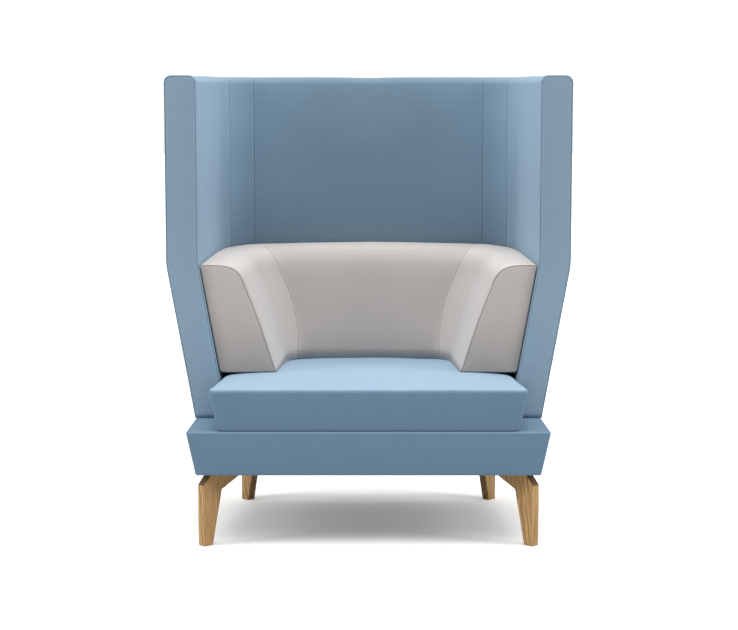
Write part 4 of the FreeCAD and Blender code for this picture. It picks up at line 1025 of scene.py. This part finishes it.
def simulate(o, free, voxel=0.008, pressure=4.0, lift=0.004, cap=0.010, frames=20):
    """Air pressure in a cloth copy of the pad; its movement, capped, is passed to the detailed mesh.
    free: for points in millimetres, 1 where the cloth may move and 0 where a seam or a frame holds it."""
    c = bpy.data.objects.new(o.name + "_cloth", o.data.copy())
    SC.collection.objects.link(c)
    m = c.modifiers.new("remesh", "REMESH")
    m.mode = "VOXEL"
    m.voxel_size = voxel
    m.adaptivity = 0.0
    dg = bpy.context.evaluated_depsgraph_get()
    me = bpy.data.meshes.new_from_object(c.evaluated_get(dg))
    c.modifiers.clear()
    c.data = me
    n = len(me.vertices)
    rest = np.zeros(n * 3, np.float64)
    me.vertices.foreach_get("co", rest)
    rest = rest.reshape(-1, 3)
    hold = 1.0 - np.clip(free(rest * 1000.0), 0, 1)
    vg = c.vertex_groups.new(name="hold")
    for lo_ in np.arange(0, 10):
        sel = np.nonzero((hold >= lo_ / 10) & (hold < (lo_ + 1) / 10 + (lo_ == 9)))[0]
        if len(sel):
            vg.add([int(i) for i in sel], (1.0 if lo_ == 9 else lo_ / 10.0), "REPLACE")
    cl = c.modifiers.new("cloth", "CLOTH")
    st = cl.settings
    st.quality = 4
    st.mass = 0.25
    st.tension_stiffness = 22.0
    st.compression_stiffness = 14.0
    st.shear_stiffness = 8.0
    st.bending_stiffness = 1.2
    st.air_damping = 2.0
    st.use_pressure = True
    st.uniform_pressure_force = pressure
    st.effector_weights.gravity = 0.0
    st.vertex_group_mass = "hold"
    st.pin_stiffness = 1.0
    cl.collision_settings.use_self_collision = False
    cl.collision_settings.use_collision = False
    cl.point_cache.frame_start = 1
    cl.point_cache.frame_end = frames
    for f in range(1, frames + 1):
        SC.frame_set(f)
    dg = bpy.context.evaluated_depsgraph_get()
    ev = c.evaluated_get(dg)
    em = ev.to_mesh()
    now = np.zeros(n * 3, np.float64)
    em.vertices.foreach_get("co", now)
    ev.to_mesh_clear()
    move = now.reshape(-1, 3) - rest
    typical = np.percentile(np.linalg.norm(move[hold < 0.1], axis=1), 90)
    move *= lift / max(typical, 1e-6)
    edges = np.zeros(len(me.edges) * 2, np.int64)
    me.edges.foreach_get("vertices", edges)
    edges = edges.reshape(-1, 2)
    SC.frame_set(1)
    bpy.data.objects.remove(c, do_unlink=True)
    size = np.linalg.norm(move, axis=1)
    move *= (np.tanh(size / cap) * cap / np.maximum(size, 1e-9))[:, None]
    for _ in range(3):
        tot, cnt = move.copy(), np.ones(n)
        np.add.at(tot, edges[:, 0], move[edges[:, 1]])
        np.add.at(tot, edges[:, 1], move[edges[:, 0]])
        np.add.at(cnt, edges[:, 0], 1)
        np.add.at(cnt, edges[:, 1], 1)
        move = tot / cnt[:, None]
    kd = KDTree(n)
    for i, q in enumerate(rest):
        kd.insert(q, i)
    kd.balance()
    v = np.zeros(len(o.data.vertices) * 3, np.float64)
    o.data.vertices.foreach_get("co", v)
    v = v.reshape(-1, 3)
    out = v.copy()
    gate = np.clip(free(v * 1000.0), 0, 1)
    for i in np.nonzero(gate > 0)[0]:
        near = kd.find_n(v[i], 8)
        w = np.array([1.0 / (d * d + 4e-6) for _, _, d in near])
        out[i] += gate[i] * (w[:, None] * move[[k for _, k, _ in near]]).sum(0) / w.sum()
    o.data.vertices.foreach_set("co", out.ravel())
    o.data.update()


def seat_free(P):
    x, y, z = P.T
    from_seam = np.abs(z - SEAT_SEAM)
    hw = 439.5 - SPLAY * (y - SEAT_Y0)
    rim = np.minimum(np.minimum(hw - np.abs(x), y - SEAT_Y0), SEAT_Y1 - y)
    near = sstep(np.hypot(from_seam, np.maximum(rim, 0.0)) / 12.0)
    return np.where(z < 330.0, 0.0, near * sstep((z - 330.0) / 12.0)) * sstep((SEAT_Y1 - 20.0 - y) / 60.0 + 0.3)


def arm_free(P):
    x, y, z = P.T
    edge = sstep((y - UNIT_Y - 3.0) / 16.0)
    outer = HALF_W - SPLAY * (y - WING_Y) - (UNIT_DEPTH + draw_in(z)) * NORM
    return edge * sstep((outer - np.abs(x) - 14.0) / 30.0) * sstep((z - 466.0) / 26.0) * sstep((210.0 - y) / 50.0)


def back_free(P):
    x, y, z = P.T
    return sstep((z - 466.0) / 26.0) * sstep((238.0 - y) / 40.0)


make_shell()
make_borders()
make_base()
simulate(make_seat(), seat_free, voxel=0.008, lift=0.0052, cap=0.011)
make_unit()
simulate(PIECES["arm_pad_right"], arm_free, voxel=0.009, lift=0.0025, cap=0.005)
simulate(PIECES["arm_pad_left"], arm_free, voxel=0.009, lift=0.0025, cap=0.005)
simulate(PIECES["back_pad"], back_free, voxel=0.010, lift=0.003, cap=0.006)

# ---------------------------------------------------------------------------
# materials
# ---------------------------------------------------------------------------


class Tree:
    def __init__(self, name):
        self.mat = bpy.data.materials.new(name)
        self.mat.use_nodes = True
        self.t = self.mat.node_tree
        self.t.nodes.clear()
        self.out = self.t.nodes.new("ShaderNodeOutputMaterial")
        self.bsdf = self.t.nodes.new("ShaderNodeBsdfPrincipled")
        self.t.links.new(self.bsdf.outputs[0], self.out.inputs[0])

    def node(self, kind, **props):
        n = self.t.nodes.new(kind)
        for k, v in props.items():
            setattr(n, k, v)
        return n

    def put(self, socket, value):
        if isinstance(value, bpy.types.NodeSocket):
            self.t.links.new(value, socket)
        else:
            socket.default_value = value

    def math(self, op, a, b=None, c=None, clamp=False):
        n = self.node("ShaderNodeMath", operation=op, use_clamp=clamp)
        self.put(n.inputs[0], a)
        if b is not None:
            self.put(n.inputs[1], b)
        if c is not None:
            self.put(n.inputs[2], c)
        return n.outputs[0]

    def vmath(self, op, a, b=None):
        n = self.node("ShaderNodeVectorMath", operation=op)
        self.put(n.inputs[0], a)
        if b is not None:
            self.put(n.inputs[1], b)
        return n.outputs[0]

    def xyz(self, v):
        n = self.node("ShaderNodeSeparateXYZ")
        self.put(n.inputs[0], v)
        return n.outputs

    def noise(self, vec, scale, detail=2.0, rough=0.5, dist=0.0):
        n = self.node("ShaderNodeTexNoise")
        self.put(n.inputs["Vector"], vec)
        n.inputs["Scale"].default_value = scale
        n.inputs["Detail"].default_value = detail
        n.inputs["Roughness"].default_value = rough
        n.inputs["Distortion"].default_value = dist
        return n.outputs[0]

    def range(self, v, a, b, c, d, smooth=False):
        n = self.node("ShaderNodeMapRange")
        if smooth:
            n.interpolation_type = "SMOOTHSTEP"
        self.put(n.inputs[0], v)
        for i, x in enumerate((a, b, c, d)):
            n.inputs[i + 1].default_value = x
        return n.outputs[0]

    def mix(self, f, a, b):
        n = self.node("ShaderNodeMix", data_type="RGBA")
        self.put(n.inputs[0], f)
        self.put(n.inputs[6], a)
        self.put(n.inputs[7], b)
        return n.outputs[2]

    def scale_colour(self, colour, f):
        """Colour times a factor socket."""
        n = self.node("ShaderNodeVectorMath", operation="SCALE")
        self.put(n.inputs[0], colour)
        self.put(n.inputs[3], f)
        return n.outputs[0]

    def bump(self, height, strength, distance, normal=None):
        n = self.node("ShaderNodeBump")
        n.inputs["Strength"].default_value = strength
        n.inputs["Distance"].default_value = distance
        self.put(n.inputs["Height"], height)
        if normal is not None:
            self.put(n.inputs["Normal"], normal)
        return n.outputs[0]


def srgb(r, g, b):
    def f(c):
        c /= 255.0
        return c / 12.92 if c <= 0.04045 else ((c + 0.055) / 1.055) ** 2.4
    return (f(r), f(g), f(b), 1.0)


# one blue cloth in copies of different lightness, each set to the light on its faces: painted light and shade; the
# last, darkest copy is painted shade for the seat border and the base
BLUE_A = (129, 153, 173)
BLUE_B = (136, 162, 183)
BLUE_C = (121, 147, 167)
BLUE_SHADED_RGB = (104, 133, 157)
GREY_A = (202, 195, 191)


def fabric(name, rgb, rib=0.0, pitch=1.5, mottle=0.06, sheen=0.18, rough=0.82, vary=0.05, bump=0.22, painted_seam_shade=0.86, grid=0.0, slubs=0.34):
    """Woven upholstery cloth: yarns over and under, heathered fibres, painted shade in the seams with a painted
    highlight beside them, and the pads' painted light and shade.
    """
    t = Tree(name)
    fa = t.node("ShaderNodeAttribute", attribute_name="fab")
    se = t.node("ShaderNodeAttribute", attribute_name="seam")
    P = fa.outputs["Vector"]
    # yarns don't run perfectly straight
    wob = t.noise(P, 90.0, 2.0, 0.5)
    wob = t.math("MULTIPLY", t.math("SUBTRACT", wob, 0.5), 1.6)
    # the pad's painted light and shade, per point
    painted_light_shade = t.node("ShaderNodeAttribute", attribute_name="painted_light_shade").outputs["Fac"]
    x, y, z = t.xyz(P)
    k = 2 * pi / (pitch * 0.001)
    u = t.math("ADD", t.math("MULTIPLY", x, k), wob)
    v = t.math("ADD", t.math("MULTIPLY", y, k), wob)
    su, sv = t.math("SINE", u), t.math("SINE", v)
    weave = t.math("MULTIPLY", su, sv)                       # over and under
    s2 = t.math("MULTIPLY", t.math("SINE", t.math("MULTIPLY", u, 2.0)), t.math("SINE", t.math("MULTIPLY", v, 2.0)))
    weave = t.math("ADD", weave, t.math("MULTIPLY", s2, 0.35))
    # fibres along each yarn, heather and slow shade changes
    fx = t.node("ShaderNodeMapping")
    t.put(fx.inputs["Vector"], P)
    fx.inputs["Scale"].default_value = (260.0, 1500.0, 1.0)
    fibre_a = t.noise(fx.outputs[0], 1.0, 3.0, 0.6)
    fy = t.node("ShaderNodeMapping")
    t.put(fy.inputs["Vector"], P)
    fy.inputs["Scale"].default_value = (1500.0, 260.0, 1.0)
    fibre_b = t.noise(fy.outputs[0], 1.0, 3.0, 0.6)
    sel = t.range(weave, -0.5, 0.5, 0.0, 1.0)
    fibre = t.math("ADD", t.math("MULTIPLY", fibre_a, sel), t.math("MULTIPLY", fibre_b, t.math("SUBTRACT", 1.0, sel)))
    heather = t.noise(P, 420.0, 3.0, 0.65)
    slow = t.noise(P, 9.0, 3.0, 0.55)
    mid = t.noise(P, 38.0, 2.0, 0.5)
    f = t.math("ADD", 1.0, t.math("MULTIPLY", t.math("SUBTRACT", fibre, 0.5), vary * 2.0))
    f = t.math("ADD", f, t.math("MULTIPLY", t.math("SUBTRACT", heather, 0.5), vary * 2.2))
    f = t.math("ADD", f, t.math("MULTIPLY", t.math("SUBTRACT", slow, 0.5), mottle))
    f = t.math("ADD", f, t.math("MULTIPLY", t.math("SUBTRACT", mid, 0.5), mottle * 0.6))
    f = t.math("ADD", f, t.math("MULTIPLY", weave, vary * 0.55))
    # slubs: short thick places in the yarns, lengthways and across
    sa = t.node("ShaderNodeMapping")
    t.put(sa.inputs["Vector"], P)
    sa.inputs["Scale"].default_value = (150.0, 420.0, 1.0)
    sb = t.node("ShaderNodeMapping")
    t.put(sb.inputs["Vector"], P)
    sb.inputs["Scale"].default_value = (420.0, 150.0, 1.0)
    slub = t.math("ADD", t.noise(sa.outputs[0], 1.0, 2.0, 0.55), t.noise(sb.outputs[0], 1.0, 2.0, 0.55))
    f = t.math("ADD", f, t.math("MULTIPLY", t.math("SUBTRACT", slub, 1.0), slubs))
    height = t.math("ADD", t.math("MULTIPLY", weave, 0.5), t.math("MULTIPLY", fibre, 0.35))
    if rib:
        r = t.math("SINE", t.math("ADD", t.math("MULTIPLY", y, 2 * pi / 0.0057), t.math("MULTIPLY", wob, 0.6)))
        f = t.math("ADD", f, t.math("MULTIPLY", r, rib))
        height = t.math("ADD", height, t.math("MULTIPLY", r, 0.7))
    if grid:
        # a windowpane of slightly thicker yarns
        gx = t.math("POWER", t.math("ABSOLUTE", t.math("SINE", t.math("MULTIPLY", x, pi / 0.0085))), 10.0)
        gy = t.math("POWER", t.math("ABSOLUTE", t.math("SINE", t.math("MULTIPLY", y, pi / 0.0085))), 10.0)
        f = t.math("ADD", f, t.math("MULTIPLY", t.math("ADD", gx, gy), grid))
    # painted shade inside the seam, a painted highlight on the ridge beside it, and the pad's painted light and shade
    s = se.outputs["Fac"]
    dark = t.range(s, 0.0002, 0.0024, painted_seam_shade, 1.0, True)
    painted_ridge_highlight = t.math("MULTIPLY", t.range(s, 0.002, 0.0036, 0.0, 1.0, True), t.range(s, 0.004, 0.0075, 1.0, 0.0, True))
    f = t.math("MULTIPLY", t.math("MULTIPLY", f, dark), painted_light_shade)
    f = t.math("MULTIPLY", f, t.math("ADD", 1.0, t.math("MULTIPLY", painted_ridge_highlight, 0.045)))
    # warm and cool yarns
    c1 = srgb(*rgb)
    c2 = (c1[0] * 0.90, c1[1] * 0.97, c1[2] * 1.04, 1.0)
    c3 = (c1[0] * 1.10, c1[1] * 1.03, c1[2] * 0.97, 1.0)
    col = t.mix(t.range(heather, 0.35, 0.65, 0.0, 1.0), c2, c3)
    t.put(t.bsdf.inputs["Base Color"], t.scale_colour(col, f))
    t.put(t.bsdf.inputs["Roughness"], t.range(fibre, 0.3, 0.7, rough - 0.07, min(1.0, rough + 0.09)))
    t.bsdf.inputs["Specular IOR Level"].default_value = 0.28
    t.bsdf.inputs["Sheen Weight"].default_value = sheen
    t.bsdf.inputs["Sheen Roughness"].default_value = 0.45
    t.bsdf.inputs["Sheen Tint"].default_value = (0.82, 0.9, 1.0, 1.0)
    b1 = t.bump(height, bump, 0.00035)
    b2 = t.bump(mid, 0.15, 0.0014, b1)
    t.put(t.bsdf.inputs["Normal"], b2)
    return t.mat


def oak(name):
    """Oiled oak: fine straight grain down the leg, cathedral figure on one pair of faces, open pores."""
    t = Tree(name)
    co = t.node("ShaderNodeTexCoord").outputs["Object"]
    # slow sideways wander of the grain along the leg
    m = t.node("ShaderNodeMapping")
    t.put(m.inputs["Vector"], co)
    m.inputs["Scale"].default_value = (5.0, 5.0, 5.0)
    bend = t.noise(m.outputs[0], 1.0, 2.0, 0.5)
    x, y, z = t.xyz(co)
    w = t.math("MULTIPLY", t.math("SUBTRACT", bend, 0.5), 0.02)
    # growth rings: planes across the leg's thickness that lean a little, so they run as long arches
    across = t.math("ADD", t.math("ADD", t.math("MULTIPLY", x, 0.86), t.math("MULTIPLY", y, 0.5)), t.math("ADD", w, t.math("MULTIPLY", z, 0.045)))
    k = t.math("MULTIPLY", across, 2 * pi / 0.0042)
    ring = t.math("ADD", 0.5, t.math("MULTIPLY", t.math("SINE", t.math("ADD", k, t.math("MULTIPLY", t.noise(co, 30.0, 2.0, 0.5), 5.0))), 0.5))
    ring = t.math("POWER", ring, 2.2)
    g = t.node("ShaderNodeMapping")
    t.put(g.inputs["Vector"], co)
    g.inputs["Scale"].default_value = (420.0, 420.0, 11.0)
    grain = t.noise(g.outputs[0], 1.0, 5.0, 0.7)
    g2 = t.node("ShaderNodeMapping")
    t.put(g2.inputs["Vector"], co)
    g2.inputs["Scale"].default_value = (1500.0, 1500.0, 45.0)
    pores = t.noise(g2.outputs[0], 1.0, 2.0, 0.5)
    pore = t.math("MULTIPLY", t.range(pores, 0.55, 0.68, 0.0, 1.0, True), t.range(ring, 0.1, 0.8, 0.35, 1.0))
    slow = t.noise(co, 14.0, 2.0, 0.5)
    light, dark = srgb(*OAK_A), srgb(*OAK_B)
    f = t.math("ADD", t.math("MULTIPLY", ring, 0.38), t.math("MULTIPLY", t.range(grain, 0.40, 0.61, 0.0, 1.0), 0.62))
    col = t.mix(f, light, dark)
    shade = t.math("ADD", 0.88, t.math("MULTIPLY", slow, 0.24))
    shade = t.math("MULTIPLY", shade, t.math("SUBTRACT", 1.0, t.math("MULTIPLY", pore, 0.34)))
    # a few long dark streaks
    g3 = t.node("ShaderNodeMapping")
    t.put(g3.inputs["Vector"], co)
    g3.inputs["Scale"].default_value = (120.0, 120.0, 3.2)
    streak = t.range(t.noise(g3.outputs[0], 1.0, 3.0, 0.6), 0.56, 0.70, 0.0, 1.0, True)
    shade = t.math("MULTIPLY", shade, t.math("SUBTRACT", 1.0, t.math("MULTIPLY", streak, 0.26)))
    # faces that look up or down are darker: the darker end grain of the cut ends, and painted shade on the leg's top
    # cut, which lies under the base
    nz = t.math("ABSOLUTE", t.xyz(t.node("ShaderNodeNewGeometry").outputs["Normal"])[2])
    shade = t.math("MULTIPLY", shade, t.range(nz, 0.3, 0.6, 1.0, 0.28, True))
    t.put(t.bsdf.inputs["Base Color"], t.scale_colour(col, shade))
    t.put(t.bsdf.inputs["Roughness"], t.math("ADD", 0.44, t.math("MULTIPLY", grain, 0.16)))
    t.bsdf.inputs["Specular IOR Level"].default_value = 0.35
    h = t.math("SUBTRACT", t.math("MULTIPLY", grain, 0.4), t.math("MULTIPLY", pore, 0.8))
    t.put(t.bsdf.inputs["Normal"], t.bump(h, 0.2, 0.0002))
    return t.mat


OAK_A, OAK_B = (216, 178, 123), (138, 93, 50)


def ply(name, rgb, lam=True):
    """Birch plywood or sawn hardwood."""
    t = Tree(name)
    co = t.node("ShaderNodeTexCoord").outputs["Object"]
    g = t.node("ShaderNodeMapping")
    t.put(g.inputs["Vector"], co)
    g.inputs["Scale"].default_value = (70.0, 70.0, 6.0) if lam else (7.0, 60.0, 70.0)
    grain = t.noise(g.outputs[0], 1.0, 4.0, 0.6, 0.6)
    fine = t.noise(co, 380.0, 2.0, 0.5)
    slow = t.noise(co, 5.0, 2.0, 0.5)
    c1 = srgb(*rgb)
    c2 = tuple(c * 0.68 for c in c1[:3]) + (1.0,)
    col = t.mix(t.range(grain, 0.35, 0.68, 0.0, 1.0), c1, c2)
    f = t.math("ADD", 0.92, t.math("MULTIPLY", slow, 0.16))
    f = t.math("ADD", f, t.math("MULTIPLY", t.math("SUBTRACT", fine, 0.5), 0.08))
    t.put(t.bsdf.inputs["Base Color"], t.scale_colour(col, f))
    t.put(t.bsdf.inputs["Roughness"], t.range(grain, 0.3, 0.7, 0.5, 0.72))
    t.put(t.bsdf.inputs["Normal"], t.bump(t.math("ADD", grain, t.math("MULTIPLY", fine, 0.3)), 0.25, 0.0005))
    return t.mat


def metal(name, rgb, rough, brushed=(1.0, 1.0, 30.0)):
    t = Tree(name)
    co = t.node("ShaderNodeTexCoord").outputs["Object"]
    g = t.node("ShaderNodeMapping")
    t.put(g.inputs["Vector"], co)
    g.inputs["Scale"].default_value = tuple(60.0 * s for s in brushed)
    a = t.noise(g.outputs[0], 1.0, 3.0, 0.6)
    b = t.noise(co, 900.0, 2.0, 0.5)
    spots = t.range(t.noise(co, 55.0, 4.0, 0.7), 0.5, 0.75, 0.0, 1.0, True)
    c1 = srgb(*rgb)
    c2 = tuple(c * 0.72 for c in c1[:3]) + (1.0,)
    col = t.mix(t.math("MULTIPLY", spots, 0.6), c1, c2)
    t.put(t.bsdf.inputs["Base Color"], t.scale_colour(col, t.math("ADD", 0.9, t.math("MULTIPLY", a, 0.2))))
    t.bsdf.inputs["Metallic"].default_value = 1.0
    t.put(t.bsdf.inputs["Roughness"], t.math("ADD", rough, t.math("MULTIPLY", t.math("ADD", a, spots), 0.12)))
    t.put(t.bsdf.inputs["Normal"], t.bump(t.math("ADD", a, b), 0.12, 0.0002))
    return t.mat


def nylon(name, rgb):
    t = Tree(name)
    co = t.node("ShaderNodeTexCoord").outputs["Object"]
    a = t.noise(co, 700.0, 3.0, 0.6)
    b = t.noise(co, 60.0, 3.0, 0.6)
    c1 = srgb(*rgb)
    t.put(t.bsdf.inputs["Base Color"], t.scale_colour(t.mix(b, c1, tuple(c * 1.5 for c in c1[:3]) + (1.0,)), t.math("ADD", 0.9, t.math("MULTIPLY", a, 0.2))))
    t.put(t.bsdf.inputs["Roughness"], t.range(b, 0.3, 0.7, 0.42, 0.6))
    t.put(t.bsdf.inputs["Normal"], t.bump(a, 0.2, 0.0002))
    return t.mat


def webcloth(name, rgb, pitch):
    """Black spunbond or jute cloth on object coordinates."""
    t = Tree(name)
    co = t.node("ShaderNodeTexCoord").outputs["Object"]
    x, y, z = t.xyz(co)
    k = 2 * pi / (pitch * 0.001)
    w = t.math("MULTIPLY", t.math("SINE", t.math("MULTIPLY", x, k)), t.math("SINE", t.math("MULTIPLY", t.math("ADD", y, z), k)))
    a = t.noise(co, 300.0, 3.0, 0.6)
    b = t.noise(co, 12.0, 3.0, 0.6)
    c1 = srgb(*rgb)
    c2 = tuple(min(1.0, c * 1.7 + 0.01) for c in c1[:3]) + (1.0,)
    f = t.math("ADD", 0.85, t.math("MULTIPLY", a, 0.3))
    t.put(t.bsdf.inputs["Base Color"], t.scale_colour(t.mix(t.range(t.math("ADD", w, b), -0.2, 1.4, 0.0, 1.0), c1, c2), f))
    t.put(t.bsdf.inputs["Roughness"], t.range(a, 0.3, 0.7, 0.8, 0.95))
    t.put(t.bsdf.inputs["Normal"], t.bump(t.math("ADD", w, a), 0.3, 0.0004))
    return t.mat


BLUE_LIGHT = fabric("blue_cloth_light", BLUE_A, mottle=0.04, painted_seam_shade=0.72)
BLUE_MID = fabric("blue_cloth_inner", BLUE_B, mottle=0.04)
BLUE_GRID = fabric("blue_cloth_corner", BLUE_C, mottle=0.05, grid=0.08)
BLUE_BACK = fabric("blue_cloth_ribbed", BLUE_C, rib=0.058, mottle=0.05)
# painted shade: a darker copy of the blue cloth, for the seat border and the base
BLUE_SHADED = fabric("blue_cloth_shaded", BLUE_SHADED_RGB, mottle=0.04, painted_seam_shade=0.74)
GREY = fabric("grey_cloth", GREY_A, mottle=0.03, vary=0.035, slubs=0.13)
GREY_FRONT = fabric("grey_cloth_front", GREY_A, mottle=0.03, vary=0.035, slubs=0.13, painted_seam_shade=0.66)
GREY_RIB = fabric("grey_cloth_ribbed", GREY_A, rib=0.055, mottle=0.035, vary=0.035, slubs=0.13)
OAK = oak("oiled_oak")
PLY = ply("birch_plywood", (205, 176, 132))
RAIL = ply("sawn_beech", (198, 160, 118), False)
ZINC = metal("zinc_plated_steel", (190, 192, 196), 0.28)
SPRING = metal("spring_steel", (120, 122, 126), 0.35)
NYLON = nylon("black_nylon", (30, 31, 33))
DUST = webcloth("black_spunbond", (26, 27, 29), 1.1)
WEB = webcloth("elastic_webbing", (52, 50, 47), 2.6)

LOOK = {}
for s in ("left", "right"):
    LOOK["wing_inner_pad_" + s] = [BLUE_MID]
    LOOK["corner_inner_pad_" + s] = [BLUE_GRID]
    LOOK["wing_outer_pad_" + s] = [BLUE_LIGHT]
    LOOK["wing_front_border_pad_" + s] = [BLUE_LIGHT]
    LOOK["arm_pad_" + s] = [GREY]
    LOOK["arm_front_pad_" + s] = [GREY_FRONT]
LOOK["back_inner_pad"] = [BLUE_BACK]
LOOK["rear_outer_pad"] = [BLUE_LIGHT]
# painted light and shade: the base and the cushion's border in the darker copy of the blue cloth, the cushion's top in
# a lighter one
LOOK["base_pad"] = [BLUE_SHADED]
LOOK["seat_cushion"] = [BLUE_LIGHT, BLUE_SHADED]
LOOK["back_pad"] = [GREY_RIB]

CAD_LOOK = {
    "leg_front_left": OAK, "leg_front_right": OAK, "leg_rear_left": OAK, "leg_rear_right": OAK,
    "leg_glides": NYLON, "leg_glide_nails": ZINC, "leg_mount_plates": ZINC, "leg_threaded_inserts": ZINC,
    "leg_bolts": ZINC, "shell_straps": ZINC, "shell_strap_bolts": ZINC, "seat_spring_clips": ZINC,
    "seat_zigzag_springs": SPRING, "dust_cover": DUST, "back_webbing": WEB,
    "base_front_rail": RAIL, "base_side_rail_left": RAIL, "base_side_rail_right": RAIL, "base_rear_rail": RAIL,
    "base_rear_corners": RAIL, "base_cross_rail": RAIL, "base_corner_blocks": RAIL,
}

for name, mats in LOOK.items():
    o = PIECES[name]
    index = np.zeros(len(o.data.polygons), np.int32)
    o.data.polygons.foreach_get("material_index", index)
    o.data.materials.clear()
    for m in mats:
        o.data.materials.append(m)
    o.data.polygons.foreach_set("material_index", np.minimum(index, len(mats) - 1).astype(np.int32))
    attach(o, "root")

for name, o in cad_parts.items():
    m = CAD_LOOK.get(name, PLY)
    o.data.materials.clear()
    o.data.materials.append(m)
    o.data.polygons.foreach_set("material_index", np.zeros(len(o.data.polygons), np.int32))

# ---------------------------------------------------------------------------
# floor and light
# ---------------------------------------------------------------------------
# painted light: GLOW is a glow the floor shows the camera, which lightens the chair's shadow on it
GLOW = 0.215
DOME, DOME_TOP, SIDE, BOUNCE = 1.38, 5.0, 54.0, 0.5

floor_me = bpy.data.meshes.new("floor")
bm = bmesh.new()
bmesh.ops.create_grid(bm, x_segments=8, y_segments=8, size=40.0)
bm.to_mesh(floor_me)
bm.free()
floor = bpy.data.objects.new("floor", floor_me)
SC.collection.objects.link(floor)
ft = Tree("pale_floor")
fco = ft.node("ShaderNodeTexCoord").outputs["Object"]
fn = ft.noise(fco, 3.0, 3.0, 0.5)
seen = ft.node("ShaderNodeLightPath").outputs["Is Camera Ray"]
pale = ft.mix(fn, (0.83, 0.83, 0.83, 1.0), (0.85, 0.85, 0.85, 1.0))
ft.put(ft.bsdf.inputs["Base Color"], ft.mix(seen, (BOUNCE, BOUNCE, BOUNCE, 1.0), pale))
ft.bsdf.inputs["Roughness"].default_value = 0.8
ft.bsdf.inputs["Emission Color"].default_value = (1.0, 1.0, 1.0, 1.0)
far = ft.range(ft.xyz(fco)[1], 0.27, 0.37, GLOW, GLOW + 0.20, True)    # painted light: for the camera the floor glows, more behind the chair
ft.put(ft.bsdf.inputs["Emission Strength"], ft.math("MULTIPLY", seen, far))
ft.bsdf.inputs["Specular IOR Level"].default_value = 0.1
floor.data.materials.append(ft.mat)

world = bpy.data.worlds.new("studio")
SC.world = world
world.use_nodes = True
wt = world.node_tree
wt.nodes.clear()
wo = wt.nodes.new("ShaderNodeOutputWorld")
bg = wt.nodes.new("ShaderNodeBackground")
wt.links.new(bg.outputs[0], wo.inputs[0])
bg.inputs[0].default_value = (1.0, 0.985, 0.955, 1.0)


def wmath(op, a, b):
    n = wt.nodes.new("ShaderNodeMath")
    n.operation = op
    for i, x in enumerate((a, b)):
        if isinstance(x, bpy.types.NodeSocket):
            wt.links.new(x, n.inputs[i])
        else:
            n.inputs[i].default_value = x
    return n.outputs[0]


wd = wt.nodes.new("ShaderNodeTexCoord").outputs["Generated"]
ws_ = wt.nodes.new("ShaderNodeSeparateXYZ")
wt.links.new(wd, ws_.inputs[0])
up = wmath("MAXIMUM", ws_.outputs[2], 0.0)
lean = wmath("SUBTRACT", 1.0, wmath("MULTIPLY", ws_.outputs[1], 0.45))
tip = radians(8.0)
high = wmath("MAXIMUM", wmath("SUBTRACT", wmath("MULTIPLY", up, cos(tip)), wmath("MULTIPLY", ws_.outputs[1], sin(tip))), 0.0)
light = wmath("ADD", wmath("MULTIPLY", wmath("MULTIPLY", wmath("POWER", up, 3.0), lean), DOME), wmath("MULTIPLY", wmath("POWER", high, 9.0), DOME_TOP))
look = wt.nodes.new("ShaderNodeLightPath").outputs["Is Camera Ray"]
light = wmath("ADD", wmath("MULTIPLY", look, 1.08), wmath("MULTIPLY", wmath("SUBTRACT", 1.0, look), light))
wt.links.new(light, bg.inputs[1])


def area(name, place, target, size, power, colour=(1.0, 1.0, 1.0)):
    d = bpy.data.lights.new(name, "AREA")
    d.shape = "RECTANGLE"
    d.size, d.size_y = size
    d.energy = power
    d.color = colour
    o = bpy.data.objects.new(name, d)
    SC.collection.objects.link(o)
    o.location = place
    o.rotation_euler = (Vector(target) - Vector(place)).to_track_quat("-Z", "Y").to_euler()
    return o


area("left_softbox", (-3.3, -1.35, 1.9), (0.4, -0.1, 0.8), (1.2, 1.8), SIDE)
area("right_softbox", (3.3, -1.35, 1.9), (-0.4, -0.1, 0.8), (1.2, 1.8), SIDE)

SC.view_settings.view_transform = "Standard"
SC.view_settings.look = "None"
SC.view_settings.exposure = 0.0
SC.view_settings.gamma = 1.0
